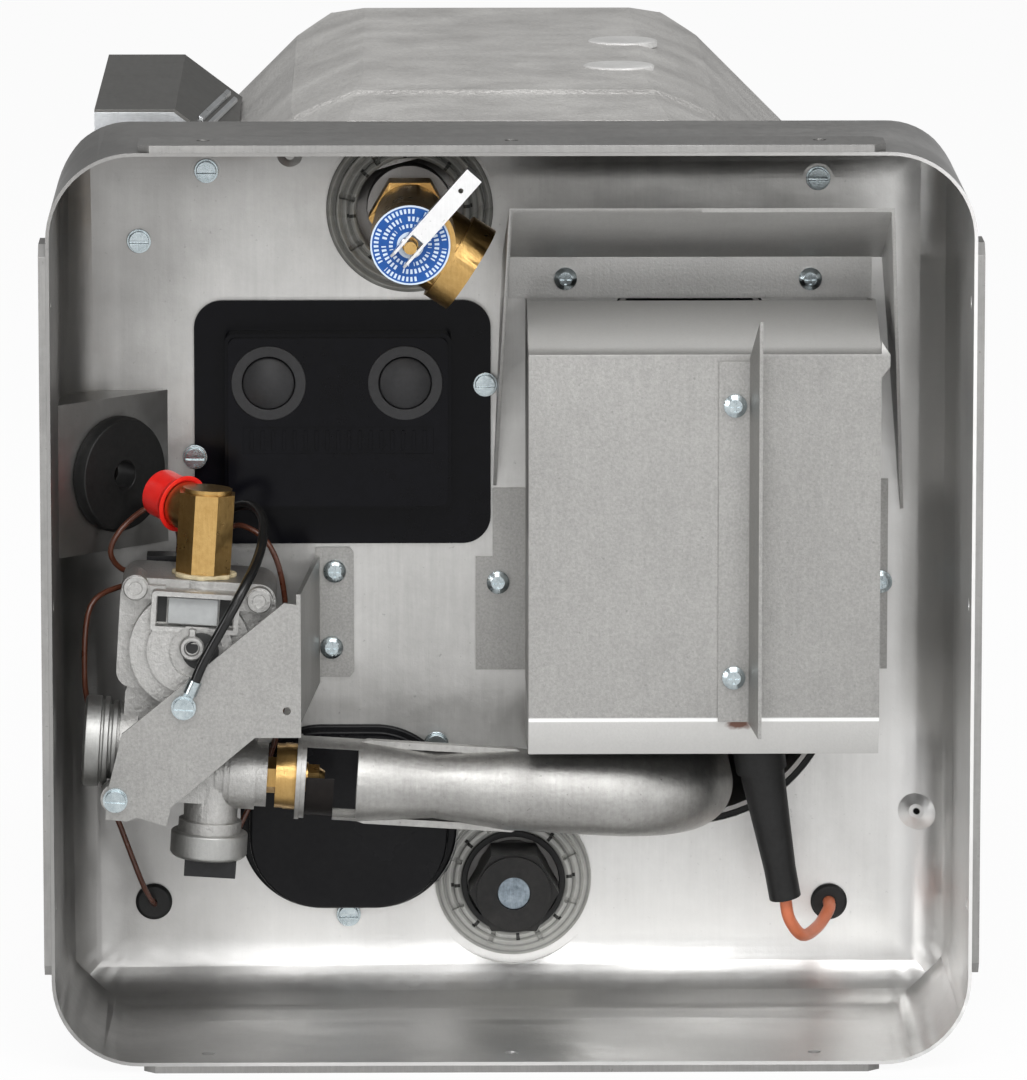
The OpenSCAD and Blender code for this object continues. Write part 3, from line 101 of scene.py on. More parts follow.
link(tree, blend.outputs[0], tree.nodes["Material Output"].inputs["Surface"])
bpy.ops.mesh.primitive_plane_add(size=40, location=(0, 8, 0))
studio_floor = bpy.context.object
studio_floor.name = "studio_floor"
studio_floor.data.materials.append(floor_material)
bpy.ops.object.transform_apply(location=True)
bpy.ops.object.select_all(action="DESELECT")

world = bpy.data.worlds.new("studio_air")
bpy.context.scene.world = world
world.use_nodes = True
tree = world.node_tree
air = tree.nodes["Background"]
compass = tree.nodes.new("ShaderNodeTexCoord")
split = tree.nodes.new("ShaderNodeSeparateXYZ")
ramp = tree.nodes.new("ShaderNodeValToRGB")
for place, tone in ((0.62, 0.22), (0.85, 0.70)):
    ramp.color_ramp.elements.new(place).color = (tone, tone, tone, 1)
ramp.color_ramp.elements[0].position = 0.45
ramp.color_ramp.elements[0].color = (0.14, 0.14, 0.14, 1)
ramp.color_ramp.elements[3].position = 1.0
ramp.color_ramp.elements[3].color = (0.62, 0.62, 0.63, 1)
link(tree, compass.outputs["Generated"], split.inputs[0])
link(tree, math_node(tree, "MULTIPLY_ADD", split.outputs["Z"], 0.5, 0.5), ramp.inputs[0])
link(tree, ramp.outputs[0], air.inputs["Color"])
air.inputs["Strength"].default_value = 0.85


def softbox(name, place, aim, width, height, watts):
    data = bpy.data.lights.new(name, "AREA")
    data.shape = "RECTANGLE"
    data.size = width
    data.size_y = height
    data.energy = watts
    lamp = bpy.data.objects.new(name, data)
    bpy.context.collection.objects.link(lamp)
    lamp.location = place
    lamp.rotation_euler = (Vector(aim) - Vector(place)).to_track_quat("-Z", "Y").to_euler()
    return lamp


softbox("key_above", (0.2, -2.0, 1.9), (0, -0.1, 0.14), 2.0, 1.0, 40)
softbox("fill_front", (0.3, -3.4, 0.9), (0, -0.1, 0.12), 2.4, 0.9, 26)
softbox("left_panel", (-2.0, -1.7, 0.7), (0, -0.15, 0.16), 0.7, 1.2, 17)
softbox("right_panel", (2.0, -1.6, 0.6), (0, -0.15, 0.16), 0.7, 1.2, 8)
softbox("top_panel", (0.0, 0.3, 2.4), (0, 0.15, 0.2), 1.5, 0.7, 10)


# Front pan. One drawn shell of aluminised steel with rounded corners, a crease
# left by the draw along its walls, puckers in the corners and a handled floor.

def new_group(name, numbers, outputs):
    """An empty node group with number inputs and named number outputs."""
    group = bpy.data.node_groups.new(name, "ShaderNodeTree")
    for label, value in numbers:
        socket = group.interface.new_socket(label, in_out="INPUT", socket_type="NodeSocketFloat")
        socket.default_value = value
    for label in outputs:
        group.interface.new_socket(label, in_out="OUTPUT", socket_type="NodeSocketFloat")
    return group, group.nodes.new("NodeGroupInput"), group.nodes.new("NodeGroupOutput")


def noise(tree, vector, scale, detail=4.0, rough=0.55):
    node = tree.nodes.new("ShaderNodeTexNoise")
    node.inputs["Detail"].default_value = detail
    node.inputs["Roughness"].default_value = rough
    link(tree, vector, node.inputs["Vector"])
    if isinstance(scale, (int, float)):
        node.inputs["Scale"].default_value = scale
    else:
        link(tree, scale, node.inputs["Scale"])
    return node.outputs[0]


def span(tree, value, low, high, to_low=0.0, to_high=1.0):
    node = tree.nodes.new("ShaderNodeMapRange")
    link(tree, value, node.inputs["Value"])
    for name, number in (("From Min", low), ("From Max", high), ("To Min", to_low), ("To Max", to_high)):
        node.inputs[name].default_value = number
    return node.outputs[0]


def mapped(tree, vector, scale=(1, 1, 1), place=(0, 0, 0), turn=(0, 0, 0)):
    node = tree.nodes.new("ShaderNodeMapping")
    node.inputs["Scale"].default_value = scale
    node.inputs["Location"].default_value = place
    node.inputs["Rotation"].default_value = turn
    link(tree, vector, node.inputs["Vector"])
    return node.outputs[0]


def blend_colour(tree, factor, first, second):
    """A colour mix; each colour is three numbers or another node's output."""
    node = tree.nodes.new("ShaderNodeMix")
    node.data_type = "RGBA"
    link(tree, factor, node.inputs["Factor"])
    for name, colour in (("A", first), ("B", second)):
        if isinstance(colour, tuple):
            node.inputs[name].default_value = (*colour, 1)
        else:
            link(tree, colour, node.inputs[name])
    return node.outputs["Result"]


def add_relief(tree, height, strength, distance):
    """One more bump under the shader's own normal."""
    shader = tree.nodes["Principled BSDF"]
    relief = tree.nodes.new("ShaderNodeBump")
    relief.inputs["Strength"].default_value = strength
    relief.inputs["Distance"].default_value = distance
    link(tree, height, relief.inputs["Height"])
    if shader.inputs["Normal"].is_linked:
        link(tree, shader.inputs["Normal"].links[0].from_socket, relief.inputs["Normal"])
    link(tree, relief.outputs[0], shader.inputs["Normal"])


def paint_over(tree, share, colour):
    """The base colour as it is, going over to another one where the share is high."""
    base = tree.nodes["Principled BSDF"].inputs["Base Color"]
    link(tree, blend_colour(tree, share, base.links[0].from_socket, colour), base)


# Sheet metal: clouds of handling marks, a fine mottle, rolling lines and specks
sheet_marks, marks_in, marks_out = new_group(
    "sheet_marks", [("Cloud Scale", 14.0), ("Mottle Scale", 420.0), ("Line Scale", 90.0)],
    ["Cloud", "Mottle", "Lines", "Specks", "Height"])
here = sheet_marks.nodes.new("ShaderNodeTexCoord").outputs["Object"]
cloud = noise(sheet_marks, here, marks_in.outputs["Cloud Scale"], 8, 0.66)
mottle = noise(sheet_marks, here, marks_in.outputs["Mottle Scale"], 3, 0.7)
fine = noise(sheet_marks, mapped(sheet_marks, here, (9.0, 1.0, 0.5)), marks_in.outputs["Line Scale"], 5, 0.7)
specks = noise(sheet_marks, here, 560, 2, 0.6)
link(sheet_marks, span(sheet_marks, cloud, 0.33, 0.67), marks_out.inputs["Cloud"])
link(sheet_marks, span(sheet_marks, mottle, 0.3, 0.7), marks_out.inputs["Mottle"])
link(sheet_marks, span(sheet_marks, fine, 0.3, 0.7), marks_out.inputs["Lines"])
link(sheet_marks, span(sheet_marks, specks, 0.69, 0.78), marks_out.inputs["Specks"])
link(sheet_marks, math_node(sheet_marks, "MULTIPLY_ADD", fine, 0.4, mottle), marks_out.inputs["Height"])


def metal(name, dark, light, rough, swing=0.12, clouds=14.0, mottle=420.0, lines=90.0,
          weights=(0.5, 0.2, 0.3), bump=0.12, speck=0.5, metallic=1.0):
    """A bare metal whose tone and polish wander between two values."""
    material = bpy.data.materials.new(name)
    material.use_nodes = True
    tree = material.node_tree
    shader = tree.nodes["Principled BSDF"]
    shader.inputs["Metallic"].default_value = metallic
    marks = tree.nodes.new("ShaderNodeGroup")
    marks.node_tree = sheet_marks
    marks.inputs["Cloud Scale"].default_value = clouds
    marks.inputs["Mottle Scale"].default_value = mottle
    marks.inputs["Line Scale"].default_value = lines
    tone = math_node(tree, "MULTIPLY", marks.outputs["Cloud"], weights[0])
    tone = math_node(tree, "MULTIPLY_ADD", marks.outputs["Mottle"], weights[1], tone)
    tone = math_node(tree, "MULTIPLY_ADD", marks.outputs["Lines"], weights[2], tone, clamp=True)
    colour = blend_colour(tree, tone, dark, light)
    shade = tuple(0.5 * c for c in dark)
    colour = blend_colour(tree, math_node(tree, "MULTIPLY", marks.outputs["Specks"], speck), colour, shade)
    link(tree, colour, shader.inputs["Base Color"])
    polish = math_node(tree, "MULTIPLY_ADD", marks.outputs["Cloud"], -swing, rough + swing / 2)
    polish = math_node(tree, "MULTIPLY_ADD", marks.outputs["Mottle"], swing * 0.4, polish, clamp=True)
    link(tree, polish, shader.inputs["Roughness"])
    add_relief(tree, marks.outputs["Height"], bump, 0.0004)
    return material


pan_steel = metal("pan_steel", (0.40, 0.395, 0.385), (0.62, 0.615, 0.60), 0.37, 0.17, 8.0, 300, 55,
                  (0.62, 0.16, 0.22), 0.14)
tree = pan_steel.node_tree
here = tree.nodes.new("ShaderNodeTexCoord").outputs["Object"]
waviness = noise(tree, here, 13, 3, 0.5)
add_relief(tree, waviness, 0.5, 0.004)
sides = tree.nodes.new("ShaderNodeSeparateXYZ")
link(tree, mapped(tree, here, place=(0, 0, -0.161)), sides.inputs[0])
# Painted shade under the top wall and along the left one, and painted light towards the bottom and the right,
# for the way the light falls in the pan
upwards = math_node(tree, "MULTIPLY_ADD", sides.outputs["X"], -0.16, sides.outputs["Z"])
painted_shade_near_edge = math_node(tree, "MAXIMUM", math_node(tree, "MULTIPLY", sides.outputs["X"], -1.0),
                      math_node(tree, "SUBTRACT", upwards, 0.014))
painted_shade_near_edge = math_node(tree, "MULTIPLY_ADD", noise(tree, here, 22, 5, 0.6), 0.05, painted_shade_near_edge)
painted_light_low_right = math_node(tree, "MAXIMUM", span(tree, sides.outputs["Z"], -0.07, -0.14, 0, 0.6),
                  span(tree, sides.outputs["X"], 0.11, 0.15, 0, 0.9))
# Painted light: the pan lighter towards its bottom and its right side
paint_over(tree, painted_light_low_right, (0.78, 0.775, 0.765))
# Painted shade: the pan darker under its top wall and along its left wall
paint_over(tree, span(tree, painted_shade_near_edge, 0.108, 0.172, 0, 0.75), (0.20, 0.196, 0.19))


def dimple(x, z, radius, height):
    """A round dent pressed in the floor, its height falling off from one place."""
    apart = tree.nodes.new("ShaderNodeVectorMath")
    apart.operation = "LENGTH"
    link(tree, mapped(tree, here, (1, 0, 1), (-x / 1000, 0, -z / 1000 - 0.161)), apart.inputs[0])
    fall = span(tree, apart.outputs["Value"], radius * 0.0004, radius / 1000, 1, 0)
    add_relief(tree, fall, 0.9, height / 1000)
    return apart.outputs["Value"]


# Painted shade: a black spot at the first dent's middle stands for the dark inside of a hole there
dent_hole_shade = span(tree, dimple(145.3, -90.9, 6.5, 1.6), 0.0010, 0.0014, 1, 0)
dimple(-76.5, 144.4, 4.5, 1.2)
paint_over(tree, dent_hole_shade, (0.01, 0.01, 0.01))
# Puckers in the two lower corners, fanned round each corner's axis
around = tree.nodes.new("ShaderNodeSeparateXYZ")
link(tree, mapped(tree, here, place=(0, 0, -0.034)), around.inputs[0])
across = math_node(tree, "SUBTRACT", math_node(tree, "ABSOLUTE", around.outputs["X"]), 0.127)
down = math_node(tree, "MULTIPLY", around.outputs["Z"], -1.0)
fan = math_node(tree, "ARCTAN2", down, across)
reach = math_node(tree, "SQRT", math_node(tree, "ADD", math_node(tree, "MULTIPLY", across, across),
                                          math_node(tree, "MULTIPLY", down, down)))
puckers = math_node(tree, "SINE", math_node(tree, "MULTIPLY_ADD", noise(tree, here, 30, 2), 6.0,
                                            math_node(tree, "MULTIPLY", fan, 26.0)))
beyond = math_node(tree, "MULTIPLY", span(tree, across, 0.004, 0.012), span(tree, down, 0.004, 0.012))
corner = math_node(tree, "MULTIPLY", span(tree, reach, 0.018, 0.030), beyond)
add_relief(tree, math_node(tree, "MULTIPLY", puckers, corner), 0.3, 0.0004)


def finish(piece, bevel=0.0, segments=2, angle=32, crease=28):
    """Softened edges, and normals that keep flat faces flat."""
    bpy.context.view_layer.objects.active = piece
    if bevel:
        soften = piece.modifiers.new("soften", "BEVEL")
        soften.width = bevel / 1000
        soften.segments = segments
        soften.limit_method = "ANGLE"
        soften.angle_limit = math.radians(angle)
        bpy.ops.object.modifier_apply(modifier=soften.name)
    piece.select_set(True)
    bpy.ops.object.shade_smooth_by_angle(angle=math.radians(crease))
    even = piece.modifiers.new("even", "WEIGHTED_NORMAL")
    even.weight = 60
    even.keep_sharp = True
    bpy.ops.object.modifier_apply(modifier=even.name)
    piece.select_set(False)


def dress(name, material, bevel=0.0, segments=2, angle=32, body="heater", crease=28, shape=None, rings=False):
    """A merged copy of a CAD node with softened edges and its own finish."""
    piece = bpy.data.objects.new(name + "_finish", nodes[name].data.copy())
    bpy.context.collection.objects.link(piece)
    piece.data.materials.clear()
    piece.data.materials.append(material)
    bpy.ops.object.select_all(action="DESELECT")
    piece.select_set(True)
    bpy.context.view_layer.objects.active = piece
    bpy.ops.object.mode_set(mode="EDIT")
    bpy.ops.mesh.select_all(action="SELECT")
    bpy.ops.mesh.remove_doubles(threshold=0.000004)
    if rings:
        bpy.ops.mesh.tris_convert_to_quads()
    else:
        bpy.ops.mesh.dissolve_limited(angle_limit=math.radians(0.6))
    bpy.ops.object.mode_set(mode="OBJECT")
    if shape:
        shape(piece)
    finish(piece, bevel, segments, angle, crease)
    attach(piece, body)
    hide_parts(name)
    return piece


def slice_faces(piece, keep, cuts):
    """Cuts the faces that keep() picks by planes, each an axis and a place in mm."""
    bpy.ops.object.mode_set(mode="EDIT")
    for axis, place in cuts:
        bpy.ops.mesh.select_all(action="DESELECT")
        bpy.ops.object.mode_set(mode="OBJECT")
        for face in piece.data.polygons:
            face.select = keep(*pan_place(face.center))
        bpy.ops.object.mode_set(mode="EDIT")
        point = [0.0, 0.0, 0.0]
        point[axis] = place
        normal = [0.0, 0.0, 0.0]
        normal[axis] = 1.0
        bpy.ops.mesh.bisect(plane_co=spot(*point), plane_no=normal)
    bpy.ops.object.mode_set(mode="OBJECT")


def pan_place(point):
    """A point of a mesh in millimetres from the middle of the pan's rim."""
    return point[0] * 1000, point[1] * 1000 + 243.5, point[2] * 1000 - 161


front_fold = 62
back_fold = 83
flat_reach = 124
gas_line_height = 34


def crease_walls(piece):
    """The draw's crease and slow waves in the pan's side walls."""
    cuts = [(1, y) for y in (30, 40, 50, 56, 59, 62, 65, 68, 72, 76, 79, 81, 83, 85, 87)]
    cuts += [(axis, place) for axis in (0, 2) for place in range(-120, 121, 12)]
    slice_faces(piece, lambda x, y, z: y < 89 and max(abs(x), abs(z)) > 156, cuts)
    for vertex in piece.data.vertices:
        x, y, z = pan_place(vertex.co)
        if y > 92 or max(abs(x), abs(z)) < 157 or min(abs(x), abs(z)) > flat_reach:
            continue
        along = x if abs(z) > abs(x) else z
        ease = min(1.0, max(0.0, (y - 26) / 14)) * min(1.0, (flat_reach - abs(along)) / 20)
        if x < -156:
            ease *= min(1.0, max(0.0, (abs(z - gas_line_height) - 38) / 16))
        past_back = (y - back_fold - math.sin(along / 40)) / 2.6
        past_front = (y - front_fold - 2 * math.sin(along / 55 + 1)) / 3.2
        fold = math.exp(-past_back ** 2) * (0.8 + 0.3 * math.sin(along / 23 + 1.7))
        fold += math.exp(-past_front ** 2) * (1.1 + 0.3 * math.sin(along / 31))
        if abs(x) > abs(z):
            fold *= 0.25
        step = 0.55 / (1 + math.exp((y - 70) / 2.2))
        slow = 0.35 * (1 + math.sin(along / 17 + 0.8) * math.sin(y / 15 + along / 41))
        inward = ease * (0.6 * fold + step * 0.6 + slow * 0.7) / 1000
        if abs(z) > abs(x):
            vertex.co.z -= math.copysign(inward, z)
        else:
            vertex.co.x -= math.copysign(inward, x)


dress("front_pan", pan_steel, 0.35, 2, 40, shape=crease_walls)


# Mounting rails. Four flat bars spot-welded round the rim, bright only on
# their sheared front edges.

rail_steel = metal("rail_steel", (0.22, 0.217, 0.212), (0.36, 0.355, 0.345), 0.40, 0.14, 20, 300, 120)
dress("mounting_rails", rail_steel, 0.3)


# Foam jacket. Two moulded halves with a pebbled silver skin, a raised line
# round their front part and two round pads where the mould was filled.

def moulded(name, dark, light, rough, scale=300.0, bump=0.3, depth=0.0004, metallic=0.0, coat=0.0,
            specular=0.5):
    """A moulded, painted or cast skin: grainy relief and a slightly uneven colour."""
    material = bpy.data.materials.new(name)
    material.use_nodes = True
    tree = material.node_tree
    shader = tree.nodes["Principled BSDF"]
    shader.inputs["Metallic"].default_value = metallic
    shader.inputs["Coat Weight"].default_value = coat
    shader.inputs["Coat Roughness"].default_value = 0.12
    shader.inputs["Specular IOR Level"].default_value = specular
    here = tree.nodes.new("ShaderNodeTexCoord").outputs["Object"]
    grain = noise(tree, here, scale, 3, 0.6)
    stain = noise(tree, here, scale * 0.06, 5, 0.6)
    uneven = math_node(tree, "MULTIPLY_ADD", grain, 0.4, math_node(tree, "MULTIPLY", stain, 0.6))
    link(tree, blend_colour(tree, span(tree, uneven, 0.35, 0.65), dark, light), shader.inputs["Base Color"])
    link(tree, span(tree, stain, 0.3, 0.7, rough - 0.06, rough + 0.06), shader.inputs["Roughness"])
    add_relief(tree, grain, bump, depth)
    return material


ridge_place = 168


def raise_ridge(piece):
    """A low ridge round the jacket, with the skin lowered before and behind it."""
    def outer(x, y, z):
        return max(abs(x), abs(z), (abs(x) + abs(z)) / math.sqrt(2)) > 154

    slice_faces(piece, outer, [(1, ridge_place + d) for d in (-9, -5, -2, 0, 2, 5)])
    for vertex in piece.data.vertices:
        x, y, z = pan_place(vertex.co)
        if not outer(x, y, z) or y > 470:
            continue
        if y < ridge_place:
            lowered = min(1.0, max(0.0, (ridge_place - 1.5 - y) / 4)) * 1.3
        else:
            lowered = min(1.0, max(0.0, (y - ridge_place - 1.5) / 3)) * 0.8
        vertex.co.x *= 1 - lowered / 161
        vertex.co.z -= lowered / 161 * z / 1000


foam_skin = moulded("foam_skin", (0.42, 0.41, 0.395), (0.59, 0.58, 0.56), 0.40, 520, 0.8, 0.0012, 0.45)
dress("jacket_upper", foam_skin, 4, 4, 18, crease=40, shape=raise_ridge)
dress("jacket_lower", foam_skin, 4, 4, 18, crease=40, shape=raise_ridge)


def turned(name, material, profile, place, axis, sides=48, bevel=0.2, body="heater", crease=30):
    """A turned piece: a disc drawn out along its axis through radius and height stops in mm."""
    radius, height = profile[0]
    bpy.ops.mesh.primitive_circle_add(vertices=sides, radius=radius / 1000, fill_type="NGON",
                                      location=(0, 0, height / 1000))
    piece = bpy.context.object
    piece.name = name
    bpy.ops.object.transform_apply(location=True)
    bpy.ops.object.mode_set(mode="EDIT")
    bpy.ops.mesh.select_all(action="SELECT")
    for next_radius, next_height in profile[1:]:
        bpy.ops.mesh.extrude_region_move(
            TRANSFORM_OT_translate={"value": (0, 0, (next_height - height) / 1000)})
        grow = next_radius / radius
        bpy.ops.transform.resize(value=(grow, grow, 1), center_override=(0, 0, next_height / 1000))
        radius, height = next_radius, next_height
    bpy.ops.mesh.select_all(action="SELECT")
    bpy.ops.mesh.normals_make_consistent(inside=False)
    bpy.ops.object.mode_set(mode="OBJECT")
    piece.matrix_world = Matrix.Translation(place) @ Vector(axis).to_track_quat("Z", "Y").to_matrix().to_4x4()
    bpy.ops.object.transform_apply(location=True, rotation=True)
    piece.data.materials.append(material)
    finish(piece, bevel, 2, 30, crease)
    bpy.ops.object.select_all(action="DESELECT")
    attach(piece, body)
    return piece


pad_skin = moulded("pad_skin", (0.62, 0.615, 0.60), (0.76, 0.755, 0.74), 0.34, 520, 0.5, 0.0009, 0.4)
for name, x, y in (("filling_pad_back", 45.6, 322), ("filling_pad_front", 42.2, 241)):
    turned(name, pad_skin, [(13, -2), (13, -0.1), (12.4, 0.3), (11.2, 0.42), (6, 0.2)], spot(x, y, 160.5),
           (0, 0, 1), 48, 0)


# Tank and its inner works. Welded steel behind the pan, mostly hidden.

tank_steel = metal("tank_steel", (0.30, 0.29, 0.28), (0.45, 0.44, 0.43), 0.5)
for name in ("tank_shell", "flue_tube", "front_bosses", "hot_port", "cold_port"):
    dress(name, tank_steel, 0.2)
magnesium = metal("magnesium", (0.07, 0.09, 0.11), (0.36, 0.42, 0.47), 0.36, 0.2, 260, 900, 300)
dress("anode_rod", magnesium, 0.2)
black_steel = moulded("black_steel", (0.008, 0.008, 0.008), (0.022, 0.021, 0.020), 0.34, 500, 0.3, 0.0003,
                      metallic=0.2, specular=0.3)
dress("anode_plug", black_steel, 0.6, 3)
black_rubber = moulded("black_rubber", (0.006, 0.006, 0.006), (0.014, 0.014, 0.014), 0.46, 600, 0.2, 0.0002,
                       specular=0.3)
for name in ("drain_seal", "burner_gasket", "exhaust_gasket", "gas_grommet", "wire_grommets"):
    dress(name, black_rubber, 0.4, 3, rings=True)


# Plastic collars. Milky mouldings clipped in the floor round the drain and the
# relief valve, with turned steps and shallow ribs.

def round_about(tree, x, z):
    """The radius in metres and the angle round a centre that is given in mm."""
    here = tree.nodes.new("ShaderNodeTexCoord").outputs["Object"]
    centre = spot(x, 0, z)
    parts = tree.nodes.new("ShaderNodeSeparateXYZ")
    link(tree, mapped(tree, here, place=(-centre.x, 0, -centre.z)), parts.inputs[0])
    squared = math_node(tree, "ADD", math_node(tree, "MULTIPLY", parts.outputs["X"], parts.outputs["X"]),
                        math_node(tree, "MULTIPLY", parts.outputs["Z"], parts.outputs["Z"]))
    radius = math_node(tree, "SQRT", squared)
    return radius, math_node(tree, "ARCTAN2", parts.outputs["Z"], parts.outputs["X"])


def ribbed_plastic(name, x, z, dark, light):
    """Milky plastic with fine ribs round one centre, with shade painted dark into the rib troughs and into
    eight slots.
    """
    material = moulded(name, dark, light, 0.3, 160, 0.12, 0.0003)
    tree = material.node_tree
    radius, angle = round_about(tree, x, z)
    ribs = math_node(tree, "SINE", math_node(tree, "MULTIPLY", radius, 2300.0))
    add_relief(tree, ribs, 0.7, 0.0006)
    eighths = math_node(tree, "SINE", math_node(tree, "MULTIPLY_ADD", angle, 8.0, 0.9))
    within = math_node(tree, "MULTIPLY", span(tree, radius, 0.0188, 0.0190),
                       span(tree, radius, 0.0222, 0.0220))
    slots = math_node(tree, "MULTIPLY", span(tree, eighths, 0.965, 0.975), within)
    # Painted shade: dark in the slots and in the troughs of the ribs
    painted_groove_shade = math_node(tree, "MAXIMUM", slots, span(tree, ribs, -0.5, -0.95, 0, 0.55))
    paint_over(tree, painted_groove_shade, (0.03, 0.03, 0.028))
    return material


drain_x, drain_z = 1.8, -114.9
relief_x, relief_z = -34.5, 125.0
drain_plastic = ribbed_plastic("drain_plastic", drain_x, drain_z, (0.42, 0.42, 0.40), (0.60, 0.60, 0.57))
dress("drain_collar", drain_plastic, 0.35, rings=True)
# The relief collar is the same milky plastic as the drain's, painted darker as the shade that falls on it
relief_plastic_shaded = ribbed_plastic("relief_plastic_shaded", relief_x, relief_z, (0.20, 0.20, 0.185), (0.34, 0.34, 0.32))
dress("relief_collar", relief_plastic_shaded, 0.35, rings=True)


# Relief valve. Cast and turned brass, a printed disc on its face, and a steel
# lever that lifts the stem.

brass = metal("brass", (0.36, 0.21, 0.065), (0.60, 0.40, 0.16), 0.30, 0.16, 36, 420, 160,
              (0.45, 0.3, 0.25), 0.3)


def narrow_bonnet(piece):
    """The bonnet and its hexagon drawn in behind the printed disc."""
    for vertex in piece.data.vertices:
        x, y, z = pan_place(vertex.co)
        apart = math.hypot(x - relief_x, z - relief_z)
        if y < 42.5 and 13.6 < apart < 16.2 and x - relief_x < 11:
            vertex.co.x -= (x - relief_x) * (1 - 13.5 / apart) / 1000
            vertex.co.z -= (z - relief_z) * (1 - 13.5 / apart) / 1000
        if y > 80 and apart > 14.2:
            vertex.co.x -= (x - relief_x) * 0.17 / 1000
            vertex.co.z -= (z - relief_z) * 0.17 / 1000


dress("relief_body", brass, 0.6, 3, shape=narrow_bonnet, rings=True)
dress("relief_stem", brass, 0.2, body="relief_stem")
copper = metal("copper", (0.45, 0.22, 0.13), (0.62, 0.34, 0.2), 0.4)
dress("relief_probe", copper, 0.2, body="relief_stem")

# The disc: plain tick rings in white on blue round a pale middle
printed_disc = moulded("printed_disc", (0.004, 0.050, 0.22), (0.008, 0.080, 0.30), 0.35, 300, 0.05,
                       specular=0.25)
tree = printed_disc.node_tree
radius, turn = round_about(tree, relief_x, relief_z)
out = math_node(tree, "MULTIPLY", radius, 1000.0)


def ring_mask(inner, outer):
    """One between two radii in mm, zero elsewhere."""
    return math_node(tree, "MULTIPLY", math_node(tree, "GREATER_THAN", out, inner),
                     math_node(tree, "LESS_THAN", out, outer))


white = ring_mask(13.1, 20)
for inner, outer, count, gap in ((10.9, 12.5, 52, -0.1), (8.3, 9.9, 40, -0.15), (6.0, 7.3, 30, -0.1)):
    ticks = math_node(tree, "GREATER_THAN",
                      math_node(tree, "SINE", math_node(tree, "MULTIPLY", turn, float(count))), gap)
    rests = math_node(tree, "GREATER_THAN",
                      math_node(tree, "SINE", math_node(tree, "MULTIPLY_ADD", turn, 5.0, inner)), -0.82)
    white = math_node(tree, "MAXIMUM", white, math_node(
        tree, "MULTIPLY", ring_mask(inner, outer), math_node(tree, "MULTIPLY", ticks, rests)))
white = math_node(tree, "MAXIMUM", white, ring_mask(-1, 4.6))
paint_over(tree, white, (0.50, 0.58, 0.68))
dress("relief_label", printed_disc, 0.1)
bright_steel = metal("bright_steel", (0.66, 0.66, 0.66), (0.82, 0.82, 0.82), 0.3, 0.1, 40, 500, 200, bump=0.1)
dress("relief_pin", bright_steel, 0.15, body="relief_stem")
dress("relief_lever", bright_steel, 0.3, 3, body="relief_lever")


# Control cover, reset buttons and element cover. Glossy black mouldings with
# soft rubber over the two buttons.

black_gloss = moulded("black_gloss", (0.002, 0.002, 0.003), (0.004, 0.004, 0.006), 0.14, 240, 0.05, 0.0002,
                      specular=0.1)
dress("control_cover", black_gloss, 0.9, 3)
black_satin = moulded("black_satin", (0.004, 0.004, 0.005), (0.009, 0.009, 0.010), 0.26, 420, 0.15, 0.0002,
                      specular=0.15)
dress("element_cover", black_satin, 1.3, 4)
soft_rubber = moulded("soft_rubber", (0.018, 0.018, 0.019), (0.032, 0.032, 0.034), 0.46, 700, 0.15, 0.0002,
                      specular=0.3)
dress("button_rings", soft_rubber, 0.4, 3)
dress("reset_button_left", soft_rubber, 0.3, body="button_left")
dress("reset_button_right", soft_rubber, 0.3, body="button_right")
dress("thermostat", black_rubber, 0.2)
dress("high_limit", black_rubber, 0.2)
dress("heating_element", rail_steel, 0.3)


# Gas valve. A die-cast zinc body with machined bosses, its turned caps, coils
# and connector.

valve_tilt = math.radians(3.6)
valve_x, valve_z = -90.7, -66.4


def valve_spot(u, y, v):
    """A place in the valve's own tilted frame, in mm from its outlet."""
    return spot(valve_x + u * math.cos(valve_tilt) + v * math.sin(valve_tilt), 55 + y,
                valve_z - u * math.sin(valve_tilt) + v * math.cos(valve_tilt))


valve_right = (math.cos(valve_tilt), 0, -math.sin(valve_tilt))
valve_up = (math.sin(valve_tilt), 0, math.cos(valve_tilt))
cast_zinc = metal("cast_zinc", (0.36, 0.355, 0.345), (0.54, 0.535, 0.52), 0.48, 0.12, 40, 700, 300,
                  (0.35, 0.5, 0.15), 0.7, 0.3)
dress("gas_valve", cast_zinc, 0.9, 3)
machined_zinc = metal("machined_zinc", (0.36, 0.36, 0.35), (0.52, 0.52, 0.505), 0.46, 0.12, 50, 600, 260,
                      (0.4, 0.35, 0.25), 0.25, 0.3)
left_cap = turned("left_cap", machined_zinc, [
    (12.6, 47), (14.6, 47), (14.6, 48.6), (13.0, 48.8), (13.0, 49.8), (15.8, 50), (15.8, 51.6),
    (14.4, 51.8), (14.4, 52.6), (15.9, 52.8), (15.9, 57.8), (14.7, 58.6), (11.6, 58.6), (11.2, 57.6)],
    valve_spot(0, 0, 8.5), tuple(-c for c in valve_right), 40, 0.25)
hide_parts("valve_left_cap")
bottom_cap = turned("bottom_cap", machined_zinc, [
    (11.2, -8.0), (13.0, -7.9), (13.4, -7.4), (13.4, -0.4), (12.9, 0.5), (12.1, 1.1), (9.8, 1.2)],
    valve_spot(-13, 0, -29), tuple(-c for c in valve_up), 48, 0.2)
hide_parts("valve_bottom_cap")
black_plastic = moulded("black_plastic", (0.006, 0.006, 0.007), (0.014, 0.014, 0.015), 0.42, 500, 0.2,
                        specular=0.3)
dress("valve_coils", black_plastic, 0.5)


def draw_pins_in(piece):
    """The two contacts end inside the block, where its plug covers them."""
    lowest = min(vertex.co.z for vertex in piece.data.vertices)
    for vertex in piece.data.vertices:
        if vertex.co.z < lowest + 0.0015:
            vertex.co.z += 0.0045


dress("connector_block", black_plastic, 0.5, shape=draw_pins_in)


